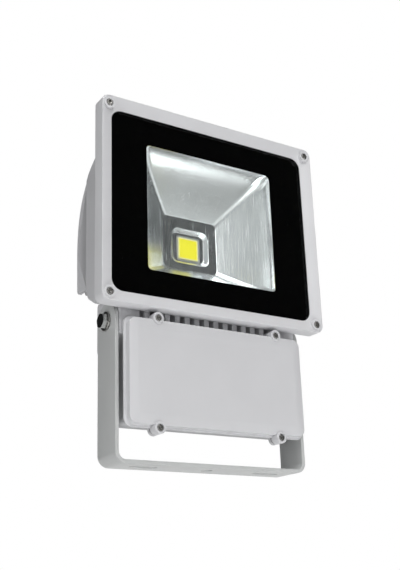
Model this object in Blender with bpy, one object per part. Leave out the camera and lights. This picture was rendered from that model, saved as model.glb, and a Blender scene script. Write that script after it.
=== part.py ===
"""LED floodlight with a die-cast lamp head, a separate driver box and a U bracket.

Units are metres, +Z is up and the lamp faces -Y. The origin is the centre of the underside of
the bracket's base. The lamp head hangs on an empty on its tilt axis, and everything on the
head is drawn in face coordinates: x to the side, y the depth behind the front face, z the
height above the centre of that face.
"""

from math import cos, pi, radians, sin

import bmesh
import bpy
from mathutils import Matrix, Vector
from mathutils.geometry import interpolate_bezier

# General clearances and wall sizes
GAP = 0.0003
EMBED = 0.001
PLANE_STEP = 0.0002
ROUND_STEPS = 16
SCREW_STEPS = 12
CORNER_STEPS = 4

# Front frame
FACE_W = 0.285
FACE_H = 0.235
FACE_CORNER_R = 0.009
BORDER = 0.0135
BORDER_DROP = 0.0053
OPENING_R = 0.013
EDGE_BEVEL = 0.0014
LIP_T = 0.0013
SKIRT_T = 0.0035
POCKET_WALL = 0.0025
POCKET_CLEARANCE = 0.0005
GROOVE_WEB = 0.0055
FRAME_BOSS_R = 0.0065
SINK_BOSS_R = 0.005
SINK_BOSS_H = 0.0105
FRAME_SCREW_INSET_X = 0.009
FRAME_SCREW_INSET_Z = 0.0095

# Glass, its black print and its seal
GLASS_T = 0.004
GLASS_LAP = 0.0025
PRINT_T = 0.0005
WINDOW_W = 0.1676
WINDOW_H = 0.1466
WINDOW_R = 0.005
SEAL_T = 0.003
SEAL_W = 0.008
FLANGE_T = 0.0025

# Reflector: mouth, curved walls, flat base and the well round the light source
MOUTH_MARGIN = 0.0022
MOUTH_R = 0.010
REFLECTOR_DEPTH = 0.0459
REFLECTOR_T = 0.0008
REFLECTOR_RIM = 0.011
BASE_W = 0.072
BASE_H = 0.064
BASE_R = 0.006
BASE_DROP = 0.014
WALL_POWER = 1.5
WALL_STEPS = 7
WELL_W = 0.050
WELL_H = 0.043
WELL_R = 0.009
WELL_DROP = 0.0025
WELL_DEPTH = 0.0042
WELL_SLOPE = 0.0042
WELL_HOLE_MARGIN = 0.0024
REFLECTOR_SCREW_Z = 0.035
REFLECTOR_POST_R = 0.0035

# Light source
EMITTER_W = 0.027
EMITTER_H = 0.0265
EMITTER_T = 0.0008
EMITTER_DROP = 0.0175
PLATE_W = 0.064
PLATE_H = 0.046
PLATE_T = 0.002
PLATE_SCREW_INSET = 0.0032

# Heatsink casting
BODY_W = 0.233
CHEEK_T = 0.006
CHEEK_PROUD = 0.0007
CHEEK_OUT = 0.0015
CHEEK_EDGE = 0.0012
BODY_WALL = 0.005
FLOOR_T = 0.0084
SIDE_BACK = 0.015
FIN_H = 0.040
FIN_PITCH = 0.0123
FIN_SLOT = 0.007
FIN_COUNT = 19
FIN_FOOT = 0.077
FIN_CREST = 0.027
FIN_FOOT_R = 0.007
CROWN_TOP = 0.105
CROWN_ANGLE = radians(36)
CROWN_HANDLE_TOP = 0.0575
CROWN_HANDLE_BACK = 0.0957
CROWN_STEPS = 10
UNDER_FRONT = 0.111
UNDER_REAR = 0.0993
UNDER_DEPTH = 0.069
CAVITY_SIDE = 0.0035

# Driver box and its lid
LID_W = 0.2232
LID_TOP = 0.1269
LID_BOTTOM = 0.2411
LID_CORNER_R = 0.0085
LID_PANEL_Y = 0.005
LID_RIM_DROP = 0.0012
LID_PANEL_SLOPE = 0.0099
LID_PANEL_R = 0.0045
LID_STEP = 0.0073
LID_LEDGE_SIDE = 0.0025
LID_LEDGE_BOTTOM = 0.0024
LID_LEDGE_TOP = 0.0020
LID_FLANGE_T = 0.002
LID_EDGE = 0.0009
LID_WALL = 0.004
GASKET_T = 0.0012
GASKET_W = 0.0045
GASKET_INSET = 0.0005
BOX_FLANGE_T = 0.003
BOX_FLANGE_SIDE = 0.0036
BOX_FLANGE_BOTTOM = 0.0012
BOX_DEPTH = 0.0377
BOX_INSET_SIDE = 0.0054
BOX_INSET_BOTTOM = 0.0061
BOX_CORNER_R = 0.0065
BOX_REAR_EDGE = 0.003
BOX_DRAFT = 0.002
BOX_WALL = 0.0035
EAR_R = 0.0062
EAR_X = 0.0755
EAR_TOP_Z = 0.1273
EAR_LOW_Z = 0.2416
EAR_PROUD = 0.001

# Neck between the lamp and the driver box
NECK_W = 0.2268
NECK_CLEARANCE = 0.0006
NECK_FRONT = 0.0203
NECK_REAR = 0.060
NECK_SLOT = 0.0062
NECK_SLOT_COUNT = 15
NECK_SLOT_SHORT = 0.033
NECK_FLOOR = 0.128
NECK_CEILING = 0.136
BOSS_CEILING = 0.148
CHEEK_REAR = 0.071
CHEEK_FRONT_Z = 0.144
CHEEK_REAR_Z = 0.164
CHEEK_REAR_R = 0.014
CHEEK_SIDE_T = 0.0135
NECK_TRIM = 0.0004

# Tilt axis, bolts and bracket
PIVOT_DEPTH = 0.040
PIVOT_DROP = 0.1275
PIVOT_HEIGHT = 0.1485
BOLT_R = 0.005
BOLT_HEAD_AF = 0.017
BOLT_HEAD_H = 0.0052
BOLT_SPIN = radians(12)
BOLT_ENGAGE = 0.0195
BOLT_END_GAP = 0.001
WASHER_R = 0.0103
WASHER_T = 0.0016
STRIP_T = 0.004
STRIP_W = 0.040
BEND_R = 0.012
BASE_SLOT_X = 0.076
BASE_SLOT_L = 0.032
BASE_SLOT_W = 0.010
BASE_HOLE_R = 0.0065

# Fasteners: head radius, head height, shank radius, shank length
FRAME_SCREW = (0.0035, 0.0030, 0.0017, 0.0180)
LID_SCREW = (0.0032, 0.0026, 0.0017, 0.0132)
REFLECTOR_SCREW = (0.0028, 0.0016, 0.0012, 0.0080)
PLATE_SCREW = (0.0024, 0.0018, 0.0010, 0.0070)
COUPLING_SCREW = (0.0042, 0.0038, 0.0021, 0.0400)
MODULE_SCREW = (0.0030, 0.0022, 0.0014, 0.0090)
HOLE_CLEARANCE = 0.0003
COUNTERBORE_CLEARANCE = 0.0006
COUPLING_X = 0.0935
COUPLING_FRONT = 0.0275
COUPLING_REAR = 0.0494
COUPLING_BOSS_R = 0.006
COUPLING_BOSS_TOP = 0.090

# Driver, its lead and the cable gland
MODULE_W = 0.140
MODULE_H = 0.060
MODULE_DEPTH = 0.0225
MODULE_Z = 0.184
MODULE_TAB = 0.012
MODULE_TAB_T = 0.003
MODULE_TAB_H = 0.030
MODULE_POST_H = 0.010
MODULE_POST_R = 0.0045
LEAD_R = 0.0014
LEAD_X = 0.082
LEAD_HOLE_R = 0.0035
GROMMET_R = 0.005
GROMMET_T = 0.006
GLAND_Z = 0.181
GLAND_R = 0.008
GLAND_BORE_R = 0.0045
GLAND_COLLAR_AF = 0.024
GLAND_COLLAR_T = 0.006
GLAND_NUT_AF = 0.022
GLAND_NUT_T = 0.004
GLAND_NECK_R = 0.0085
GLAND_NECK_L = 0.008
GLAND_CAP_R = 0.0115
GLAND_CAP_L = 0.017
GLAND_SEAL_R = 0.0062
GLAND_SEAL_L = 0.006
GLAND_SEAL_BORE_R = 0.0036

# Depths that follow from the stack behind the front face
BORDER_EDGE_Y = 0.0006
GLASS_Y = BORDER_EDGE_Y + BORDER_DROP + LIP_T
PRINT_Y = GLASS_Y + GLASS_T + GAP
SEAL_Y = PRINT_Y + PRINT_T + GAP
FLANGE_Y = SEAL_Y + SEAL_T + GAP
FRAME_DEPTH = FLANGE_Y + FLANGE_T
MOUTH_Y = PRINT_Y + PRINT_T + GAP * 2 + REFLECTOR_SCREW[1]
BASE_Y = MOUTH_Y + REFLECTOR_DEPTH
PLATE_Y = BASE_Y + WELL_DEPTH + REFLECTOR_T + GAP
FLOOR_Y = PLATE_Y + PLATE_T + GAP
SLOT_Y = FLOOR_Y + FLOOR_T
SIDE_BACK_Y = SLOT_Y + SIDE_BACK
FIN_BACK_Y = SLOT_Y + FIN_H
LID_FLANGE_Y = LID_PANEL_Y + LID_RIM_DROP + LID_STEP
GASKET_Y = LID_FLANGE_Y + LID_FLANGE_T + GAP
BOX_FLANGE_Y = GASKET_Y + GASKET_T + GAP
BOX_BODY_Y = BOX_FLANGE_Y + BOX_FLANGE_T
BOX_BACK_Y = BOX_BODY_Y + BOX_DEPTH
BOX_INNER_Y = BOX_BACK_Y - BOX_WALL
EAR_Y = LID_PANEL_Y - EAR_PROUD
LEAD_Y = (COUPLING_FRONT + COUPLING_REAR) / 2

# Half sizes of the opening, the glass and the parts beside the legs
OPENING_X = FACE_W / 2 - BORDER
OPENING_Z = FACE_H / 2 - BORDER
GLASS_X = OPENING_X + GLASS_LAP
GLASS_Z = OPENING_Z + GLASS_LAP
GLASS_R = OPENING_R + 0.002
POCKET_X = GLASS_X + POCKET_CLEARANCE
POCKET_Z = GLASS_Z + POCKET_CLEARANCE
POCKET_R = GLASS_R + POCKET_CLEARANCE
FRAME_SCREW_X = FACE_W / 2 - FRAME_SCREW_INSET_X
FRAME_SCREW_Z = FACE_H / 2 - FRAME_SCREW_INSET_Z
NECK_X = NECK_W / 2
LEG_INNER_X = NECK_X + NECK_CLEARANCE
LEG_OUTER_X = LEG_INNER_X + STRIP_T


def clear_scene():
    for item in list(bpy.data.objects):
        bpy.data.objects.remove(item, do_unlink=True)


def material(name, colour, roughness, metallic):
    made = bpy.data.materials.new(name)
    made.use_nodes = True
    shader = made.node_tree.nodes["Principled BSDF"]
    shader.inputs["Base Color"].default_value = (*colour, 1.0)
    shader.inputs["Roughness"].default_value = roughness
    shader.inputs["Metallic"].default_value = metallic
    made.diffuse_color = (*colour, 1.0)
    return made


def empty(name, location, parent=None):
    made = bpy.data.objects.new(name, None)
    bpy.context.collection.objects.link(made)
    made.location = location
    made.parent = parent
    return made


def place(name, mesh, finish, parent=None, location=(0, 0, 0), turn=(0, 0, 0)):
    """Put a mesh into the scene as one named piece."""
    made = bpy.data.objects.new(name, mesh)
    bpy.context.collection.objects.link(made)
    made.location = location
    made.rotation_euler = turn
    made.parent = parent
    if finish and not mesh.materials:
        mesh.materials.append(finish)
    return made


def modify(target, tool, operation):
    """Join, cut or intersect a piece with a helper shape, which itself stays hidden."""
    tool.hide_render = True
    tool.display_type = "WIRE"
    step = target.modifiers.new(operation.lower(), "BOOLEAN")
    step.operation = operation
    step.solver = "EXACT"
    step.object = tool


def join(target, tool):
    modify(target, tool, "UNION")


def cut(target, tool):
    modify(target, tool, "DIFFERENCE")


def bevel(target, width, segments=2, angle=radians(40)):
    step = target.modifiers.new("bevel", "BEVEL")
    step.width = width
    step.segments = segments
    step.limit_method = "ANGLE"
    step.angle_limit = angle


def rings_mesh(name, ring_sets, closed=False):
    """Skin one or more runs of equal rings. Open runs get end caps, closed runs meet again."""
    bm = bmesh.new()
    for rings in ring_sets:
        loops = [[bm.verts.new(point) for point in ring] for ring in rings]
        pairs = list(zip(loops, loops[1:]))
        if closed:
            pairs.append((loops[-1], loops[0]))
        count = len(rings[0])
        for low, high in pairs:
            for i in range(count):
                j = (i + 1) % count
                bm.faces.new((low[i], low[j], high[j], high[i]))
        if not closed:
            bm.faces.new(loops[0])
            bm.faces.new(loops[-1])
    bmesh.ops.recalc_face_normals(bm, faces=bm.faces)
    if bm.calc_volume(signed=True) < 0:
        bmesh.ops.reverse_faces(bm, faces=bm.faces)
    mesh = bpy.data.meshes.new(name)
    bm.to_mesh(mesh)
    bm.free()
    return mesh


def rounded_rect(half_x, half_z, radius, y, centre_x=0.0, centre_z=0.0):
    """Ring of points round a rectangle with round corners, in a plane of constant depth."""
    points = []
    for turn, sx, sz in ((0, 1, 1), (1, -1, 1), (2, -1, -1), (3, 1, -1)):
        cx = centre_x + sx * (half_x - radius)
        cz = centre_z + sz * (half_z - radius)
        for i in range(CORNER_STEPS + 1):
            angle = pi / 2 * (turn + i / CORNER_STEPS)
            points.append((cx + radius * cos(angle), y, cz + radius * sin(angle)))
    return points


def arc(centre, radius, start, end, steps):
    """Points (y, z) on an arc, with angles from +y towards +z."""
    angles = [start + (end - start) * i / steps for i in range(steps + 1)]
    return [(centre[0] + radius * cos(a), centre[1] + radius * sin(a)) for a in angles]


def bezier(start, handle_a, handle_b, end, steps):
    knots = [Vector((y, z, 0)) for y, z in (start, handle_a, handle_b, end)]
    return [(p.x, p.y) for p in interpolate_bezier(*knots, steps + 1)]


def prism_x(outline, low, high):
    """Rings of a (y, z) outline drawn out along x."""
    return [[(x, y, z) for y, z in outline] for x in (low, high)]


def disc_ring(radius, height, steps=ROUND_STEPS):
    angles = [2 * pi * i / steps for i in range(steps)]
    return [(radius * cos(a), radius * sin(a), height) for a in angles]


def hex_ring(across_flats, height, steps=SCREW_STEPS):
    """Points on a hexagon, equally spaced by angle, so that it can be skinned to a circle."""
    points = []
    for i in range(steps):
        angle = 2 * pi * i / steps
        from_flat = (angle + pi / 6) % (pi / 3) - pi / 6
        radius = across_flats / 2 / cos(from_flat)
        points.append((radius * cos(angle), radius * sin(angle), height))
    return points


def cylinder_y(name, radius, low, high, x, z, parent, steps=ROUND_STEPS):
    """Round helper that runs in depth from low to high."""
    mesh = rings_mesh(name, [[disc_ring(radius, -high, steps), disc_ring(radius, -low, steps)]])
    return place(name, mesh, None, parent, (x, 0, z), (pi / 2, 0, 0))


def cylinder_z(name, radius, low, high, x, y, parent, steps=ROUND_STEPS):
    mesh = rings_mesh(name, [[disc_ring(radius, low, steps), disc_ring(radius, high, steps)]])
    return place(name, mesh, None, parent, (x, y, 0))


def round_off(mesh):
    mesh.shade_smooth()
    mesh.set_sharp_from_angle(angle=radians(32))
    return mesh


def screw_mesh(name, sizes, socket=False):
    """Screw along its own z axis, with the underside of its head at z = 0."""
    head_r, head_h, shank_r, length = sizes
    rings = [
        disc_ring(shank_r, -length, SCREW_STEPS),
        disc_ring(shank_r, 0, SCREW_STEPS),
        disc_ring(head_r, 0, SCREW_STEPS),
        disc_ring(head_r, head_h * 0.8, SCREW_STEPS),
        disc_ring(head_r * 0.88, head_h, SCREW_STEPS),
    ]
    if socket:
        rings += [hex_ring(head_r * 0.95, head_h), hex_ring(head_r * 0.95, head_h * 0.45)]
    return round_off(rings_mesh(name, [rings]))


def crown_curve(offset=0.0):
    """The casting's curved back in (y, z), from its top behind the frame to the fins' crest."""
    start = (FRAME_DEPTH, CROWN_TOP)
    end = (FIN_BACK_Y, -FIN_CREST)
    handle_a = (
        start[0] + CROWN_HANDLE_TOP * cos(CROWN_ANGLE),
        start[1] - CROWN_HANDLE_TOP * sin(CROWN_ANGLE),
    )
    handle_b = (end[0], end[1] + CROWN_HANDLE_BACK)
    points = bezier(start, handle_a, handle_b, end, CROWN_STEPS)
    moved = []
    for i, point in enumerate(points):
        before = Vector(points[max(i - 1, 0)])
        after = Vector(points[min(i + 1, CROWN_STEPS)])
        along = (after - before).normalized()
        moved.append((point[0] - along.y * offset, point[1] + along.x * offset))
    return moved


def under_z(y):
    """Height of the casting's sloping underside at depth y."""
    share = (y - FRAME_DEPTH) / (UNDER_DEPTH - FRAME_DEPTH)
    return -UNDER_FRONT + (UNDER_FRONT - UNDER_REAR) * share


def front_frame(parent, finish):
    half_x = FACE_W / 2
    half_z = FACE_H / 2
    lip_y = BORDER_EDGE_Y + BORDER_DROP
    pocket_rear = FLANGE_Y - GAP
    groove_in_x = POCKET_X + POCKET_WALL
    groove_in_z = POCKET_Z + POCKET_WALL
    groove_in_r = POCKET_R + POCKET_WALL
    skirt_x = half_x - SKIRT_T
    skirt_z = half_z - SKIRT_T
    skirt_r = FACE_CORNER_R - SKIRT_T
    shoulder = EDGE_BEVEL * 0.35
    shoulder_y = BORDER_EDGE_Y + shoulder
    rings = [
        rounded_rect(half_x, half_z, FACE_CORNER_R, FRAME_DEPTH),
        rounded_rect(half_x, half_z, FACE_CORNER_R, BORDER_EDGE_Y + EDGE_BEVEL),
        rounded_rect(half_x - shoulder, half_z - shoulder, FACE_CORNER_R, shoulder_y),
        rounded_rect(half_x - EDGE_BEVEL, half_z - EDGE_BEVEL, FACE_CORNER_R, BORDER_EDGE_Y),
        rounded_rect(OPENING_X + shoulder, OPENING_Z + shoulder, OPENING_R, lip_y - shoulder / 2),
        rounded_rect(OPENING_X, OPENING_Z, OPENING_R, lip_y),
        rounded_rect(OPENING_X, OPENING_Z, OPENING_R, GLASS_Y - GAP),
        rounded_rect(POCKET_X, POCKET_Z, POCKET_R, GLASS_Y - GAP),
        rounded_rect(POCKET_X, POCKET_Z, POCKET_R, pocket_rear),
        rounded_rect(groove_in_x, groove_in_z, groove_in_r, pocket_rear),
        rounded_rect(groove_in_x, groove_in_z, groove_in_r, GROOVE_WEB),
        rounded_rect(skirt_x, skirt_z, skirt_r, GROOVE_WEB),
        rounded_rect(skirt_x, skirt_z, skirt_r, FRAME_DEPTH),
    ]
    mesh = round_off(rings_mesh("front_frame", [rings], True))
    frame = place("front_frame", mesh, finish, parent)
    head_r, head_h, shank_r = FRAME_SCREW[:3]
    mesh = screw_mesh("frame_screw", FRAME_SCREW, True)
    seat_y = head_h + GAP
    for number, (x, z) in enumerate(frame_screw_spots(), 1):
        tag = f"frame_{number}"
        join(frame, cylinder_y(f"{tag}_boss", FRAME_BOSS_R, GAP, pocket_rear, x, z, parent))
        counterbore = head_r + COUNTERBORE_CLEARANCE
        cut(frame, cylinder_y(f"{tag}_sink", counterbore, -EMBED, seat_y, x, z, parent))
        hole_r = shank_r + HOLE_CLEARANCE
        cut(frame, cylinder_y(f"{tag}_hole", hole_r, 0, FRAME_DEPTH, x, z, parent, SCREW_STEPS))
        place(f"frame_screw_{number}", mesh, STEEL, parent, (x, seat_y - GAP, z), (pi / 2, 0, 0))
    return frame


def frame_screw_spots():
    return [(sx * FRAME_SCREW_X, sz * FRAME_SCREW_Z) for sz in (1, -1) for sx in (-1, 1)]


def glass_parts(parent):
    outline = (GLASS_X, GLASS_Z, GLASS_R)
    edge = GLASS_T * 0.15
    inner = (GLASS_X - edge, GLASS_Z - edge, GLASS_R)
    pane = [
        rounded_rect(*inner, GLASS_Y),
        rounded_rect(*outline, GLASS_Y + edge),
        rounded_rect(*outline, GLASS_Y + GLASS_T - edge),
        rounded_rect(*inner, GLASS_Y + GLASS_T),
    ]
    place("glass_pane", round_off(rings_mesh("glass_pane", [pane])), GLASS, parent)
    window = (WINDOW_W / 2, WINDOW_H / 2, WINDOW_R)
    border = [
        rounded_rect(*outline, PRINT_Y),
        rounded_rect(*outline, PRINT_Y + PRINT_T),
        rounded_rect(*window, PRINT_Y + PRINT_T),
        rounded_rect(*window, PRINT_Y),
    ]
    place("glass_border", round_off(rings_mesh("glass_border", [border], True)), BLACK, parent)
    lip = (GLASS_X - SEAL_W, GLASS_Z - SEAL_W, GLASS_R - SEAL_W / 2)
    seal = [
        rounded_rect(*outline, SEAL_Y),
        rounded_rect(*outline, SEAL_Y + SEAL_T),
        rounded_rect(*lip, SEAL_Y + SEAL_T),
        rounded_rect(*lip, SEAL_Y),
    ]
    place("glass_seal", round_off(rings_mesh("glass_seal", [seal], True)), RUBBER, parent)


def wall_ring(share, grow, push):
    """Ring on the reflector's wall; share runs from 0 at its mouth to 1 at its base."""
    blend = share ** WALL_POWER
    mouth_x = WINDOW_W / 2 + MOUTH_MARGIN
    mouth_z = WINDOW_H / 2 + MOUTH_MARGIN
    half_x = mouth_x + (BASE_W / 2 - mouth_x) * blend + grow
    half_z = mouth_z + (BASE_H / 2 - mouth_z) * blend + grow
    radius = MOUTH_R + (BASE_R - MOUTH_R) * blend + grow
    y = MOUTH_Y + REFLECTOR_DEPTH * share + push
    return rounded_rect(half_x, half_z, radius, y, 0, -BASE_DROP * blend)


def well_ring(grow, y):
    centre = -BASE_DROP - WELL_DROP
    return rounded_rect(WELL_W / 2 + grow, WELL_H / 2 + grow, WELL_R + grow / 2, y, 0, centre)


def reflector(parent):
    """Thin spun shell: mouth rim, curved walls, flat base, sloping well and its square hole."""
    shares = [i / WALL_STEPS for i in range(WALL_STEPS + 1)]
    well_floor = BASE_Y + WELL_DEPTH
    hole_x = EMITTER_W / 2 + WELL_HOLE_MARGIN
    hole_z = EMITTER_H / 2 + WELL_HOLE_MARGIN
    hole = (hole_x, hole_z, WELL_R / 3)
    rim_x = WINDOW_W / 2 + MOUTH_MARGIN + REFLECTOR_RIM
    rim_z = WINDOW_H / 2 + MOUTH_MARGIN + REFLECTOR_RIM / 3
    rings = [wall_ring(share, 0, 0) for share in shares]
    rings += [
        well_ring(0, BASE_Y),
        well_ring(-WELL_SLOPE, well_floor),
        rounded_rect(*hole, well_floor, 0, -EMITTER_DROP),
        rounded_rect(*hole, well_floor + REFLECTOR_T, 0, -EMITTER_DROP),
        well_ring(-WELL_SLOPE + REFLECTOR_T, well_floor + REFLECTOR_T),
        well_ring(REFLECTOR_T, BASE_Y + REFLECTOR_T),
    ]
    rings += [wall_ring(share, REFLECTOR_T, REFLECTOR_T) for share in reversed(shares)]
    rings += [
        rounded_rect(rim_x, rim_z, MOUTH_R, MOUTH_Y + REFLECTOR_T),
        rounded_rect(rim_x, rim_z, MOUTH_R, MOUTH_Y),
    ]
    shell = place("reflector", round_off(rings_mesh("reflector", [rings], True)), MIRROR, parent)
    hole_r = REFLECTOR_SCREW[2] + HOLE_CLEARANCE
    for number, (x, z) in enumerate(reflector_screw_spots(), 1):
        tool = cylinder_y(
            f"reflector_{number}_hole", hole_r, 0, MOUTH_Y + EMBED * 2, x, z, parent, SCREW_STEPS
        )
        cut(shell, tool)


def reflector_screw_spots():
    x = WINDOW_W / 2 + MOUTH_MARGIN + REFLECTOR_RIM / 2 + REFLECTOR_T
    return [(sx * x, sz * REFLECTOR_SCREW_Z) for sz in (1, -1) for sx in (-1, 1)]


def light_source(parent):
    plate = [
        rounded_rect(PLATE_W / 2, PLATE_H / 2, 0.002, y, 0, -EMITTER_DROP)
        for y in (PLATE_Y, PLATE_Y + PLATE_T)
    ]
    base = place("led_plate", rings_mesh("led_plate", [plate]), ALUMINIUM, parent)
    mesh = screw_mesh("led_screw", PLATE_SCREW)
    for number, (x, z) in enumerate(plate_screw_spots(), 1):
        hole_r = PLATE_SCREW[2] + HOLE_CLEARANCE
        tool = cylinder_y(f"led_{number}_hole", hole_r, 0, FLOOR_Y, x, z, parent, SCREW_STEPS)
        cut(base, tool)
        place(f"led_screw_{number}", mesh, STEEL, parent, (x, PLATE_Y - GAP, z), (pi / 2, 0, 0))
    front = PLATE_Y - GAP - EMITTER_T
    emitter = [
        rounded_rect(EMITTER_W / 2, EMITTER_H / 2, 0.001, y, 0, -EMITTER_DROP)
        for y in (front, front + EMITTER_T)
    ]
    place("led_emitter", rings_mesh("led_emitter", [emitter]), PHOSPHOR, parent)


def plate_screw_spots():
    x = PLATE_W / 2 - PLATE_SCREW_INSET
    z = PLATE_H / 2 - PLATE_SCREW_INSET * 2
    return [(sx * x, sz * z - EMITTER_DROP) for sz in (1, -1) for sx in (-1, 1)]


def coupling_spots():
    return [(sx * COUPLING_X, y) for y in (COUPLING_FRONT, COUPLING_REAR) for sx in (-1, 1)]


def body_outline():
    """Full side outline of the casting with its fins, from the frame's rear right round."""
    rear_under = (SIDE_BACK_Y, -FIN_FOOT)
    foot = arc(
        (FIN_BACK_Y - FIN_FOOT_R - 0.001, -FIN_FOOT + FIN_FOOT_R), FIN_FOOT_R, 0, -pi / 2, 3
    )
    under_start = FLANGE_Y + EMBED
    outline = [(under_start, under_z(under_start)), (under_start, CROWN_TOP)]
    outline += crown_curve()
    outline += foot
    outline += [rear_under, (SIDE_BACK_Y - 0.0055, -FIN_FOOT - 0.0125), (UNDER_DEPTH, -UNDER_REAR)]
    return outline


def cheek_outline():
    """Side wall of the casting: the crown, a straight back and a recessed underside."""
    crown = [p for p in crown_curve(CHEEK_PROUD) if p[0] < SIDE_BACK_Y - 0.004]
    start = FLANGE_Y + EMBED
    top = crown[-1][1] - (SIDE_BACK_Y - crown[-1][0]) * 1.25
    outline = [(start, under_z(start) + CHEEK_PROUD), (start, CROWN_TOP + CHEEK_PROUD)]
    outline += crown
    outline += [
        (SIDE_BACK_Y, top),
        (SIDE_BACK_Y, -FIN_FOOT + CHEEK_PROUD),
        (SIDE_BACK_Y - 0.006, -FIN_FOOT - 0.0118),
        (UNDER_DEPTH, -UNDER_REAR + CHEEK_PROUD),
    ]
    return outline


def slot_outline():
    """What a slot between two fins removes: a floor that follows the back, open outwards."""
    out_y = FIN_BACK_Y + 0.02
    out_top = CROWN_TOP + 0.02
    start = (FRAME_DEPTH - 0.002, CROWN_TOP - 0.0045)
    end = (SLOT_Y, 0.02)
    floor = bezier(start, (0.050, 0.085), (SLOT_Y, 0.062), end, 6)
    below = -UNDER_FRONT - 0.02
    return floor + [(SLOT_Y, below), (out_y, below), (out_y, out_top), (start[0], out_top)]


def cavity_outline():
    front = FLANGE_Y - 0.002
    sill = -GLASS_Z + SEAL_W + 0.001
    return [
        (front, sill),
        (front, OPENING_Z - SEAL_W - 0.003),
        (0.030, 0.084),
        (FLOOR_Y, 0.040),
        (FLOOR_Y, under_z(FLOOR_Y) + BODY_WALL),
        (0.026, under_z(0.026) + BODY_WALL),
        (0.022, sill),
    ]


def heatsink(parent, finish):
    flange_x = FACE_W / 2 - SKIRT_T - GAP
    flange_z = FACE_H / 2 - SKIRT_T - GAP
    flange_r = FACE_CORNER_R - SKIRT_T - GAP
    flange = [rounded_rect(flange_x, flange_z, flange_r, y) for y in (FLANGE_Y, FRAME_DEPTH)]
    sink = place("heatsink", rings_mesh("heatsink", [flange]), finish, parent)
    half = BODY_W / 2
    body_mesh = rings_mesh("sink_body", [prism_x(body_outline(), -half, half)])
    join(sink, place("sink_body", body_mesh, None, parent))
    outer = half + CHEEK_OUT
    for side in (-1, 1):
        low, high = sorted((side * outer, side * (outer - CHEEK_T)))
        mesh = rings_mesh("sink_cheek", [prism_x(cheek_outline(), low, high)])
        cheek = place(f"sink_cheek_{side}", mesh, None, parent)
        bevel(cheek, CHEEK_EDGE)
        join(sink, cheek)
    low = FLANGE_Y + EMBED
    high = FLANGE_Y + SINK_BOSS_H
    for number, spot in enumerate(frame_screw_spots(), 1):
        tag = f"sink_boss_{number}"
        join(sink, cylinder_y(tag, SINK_BOSS_R, low, high, *spot, parent, SCREW_STEPS))
    inner = half - CAVITY_SIDE
    cavity = rings_mesh("sink_cavity", [prism_x(cavity_outline(), -inner, inner)])
    cut(sink, place("sink_cavity", cavity, None, parent))
    post_front = MOUTH_Y + REFLECTOR_T + GAP
    screw = screw_mesh("reflector_screw", REFLECTOR_SCREW)
    for number, (x, z) in enumerate(reflector_screw_spots(), 1):
        tag = f"sink_post_{number}"
        rear = FLOOR_Y + EMBED
        post = cylinder_y(tag, REFLECTOR_POST_R, post_front, rear, x, z, parent, SCREW_STEPS)
        join(sink, post)
        hole_r = REFLECTOR_SCREW[2] + HOLE_CLEARANCE
        deep = post_front + REFLECTOR_SCREW[3] + EMBED
        cut(sink, cylinder_y(f"{tag}_hole", hole_r, 0, deep, x, z, parent, SCREW_STEPS))
        spot = (x, MOUTH_Y - GAP, z)
        place(f"reflector_screw_{number}", screw, STEEL, parent, spot, (pi / 2, 0, 0))
    for number, (x, y) in enumerate(coupling_spots(), 1):
        tag = f"sink_coupling_{number}"
        foot = under_z(y) + BODY_WALL / 2
        join(sink, cylinder_z(tag, COUPLING_BOSS_R, foot, -COUPLING_BOSS_TOP, x, y, parent))
    drill_sink(sink, parent)
    slots = []
    for i in range(FIN_COUNT):
        x = (i - (FIN_COUNT - 1) / 2) * FIN_PITCH
        slots.append(prism_x(slot_outline(), x - FIN_SLOT / 2, x + FIN_SLOT / 2))
    cut(sink, place("sink_slots", rings_mesh("sink_slots", slots), None, parent))
    return sink


def drill_sink(sink, parent):
    """Threaded holes for the frame, plate and coupling screws, and the way for the lead."""
    deep = FRAME_SCREW[1] + FRAME_SCREW[3] + EMBED
    for number, spot in enumerate(frame_screw_spots(), 1):
        hole_r = FRAME_SCREW[2] + HOLE_CLEARANCE
        tag = f"sink_frame_hole_{number}"
        cut(sink, cylinder_y(tag, hole_r, 0, deep, *spot, parent, SCREW_STEPS))
    deep = PLATE_Y + PLATE_SCREW[3] + EMBED
    for number, (x, z) in enumerate(plate_screw_spots(), 1):
        hole_r = PLATE_SCREW[2] + HOLE_CLEARANCE
        tool = cylinder_y(f"sink_led_hole_{number}", hole_r, PLATE_Y, deep, x, z, parent, SCREW_STEPS)
        cut(sink, tool)
    top = -NECK_CEILING + COUPLING_SCREW[3] + EMBED
    for number, (x, y) in enumerate(coupling_spots(), 1):
        hole_r = COUPLING_SCREW[2] + HOLE_CLEARANCE
        tag = f"sink_coupling_hole_{number}"
        cut(sink, cylinder_z(tag, hole_r, -NECK_CEILING, top, x, y, parent, SCREW_STEPS))
    tool = cylinder_z(
        "sink_lead_hole", LEAD_HOLE_R, -NECK_CEILING, -COUPLING_BOSS_TOP, LEAD_X, LEAD_Y, parent
    )
    cut(sink, tool)


def box_ears(target, parent, low, high, radius, tag):
    for number, (x, z) in enumerate(ear_spots(), 1):
        join(target, cylinder_y(f"{tag}_ear_{number}", radius, low, high, x, z, parent))


def ear_spots():
    return [(sx * EAR_X, z) for z in (-EAR_TOP_Z, -EAR_LOW_Z) for sx in (-1, 1)]


def lid_ring(side, bottom, top, y, radius):
    """Ring inside the lid's outline with its own insets at the sides, the bottom and the top."""
    low = -LID_BOTTOM + bottom
    high = -LID_TOP - top
    return rounded_rect(LID_W / 2 - side, (high - low) / 2, radius, y, 0, (high + low) / 2)


def flange_ring(inset, y):
    """Ring in step with the outline of the driver box's flange, drawn in by inset."""
    side = BOX_FLANGE_SIDE + inset
    return lid_ring(side, BOX_FLANGE_BOTTOM + inset, side, y, BOX_CORNER_R - inset / 2)


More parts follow.
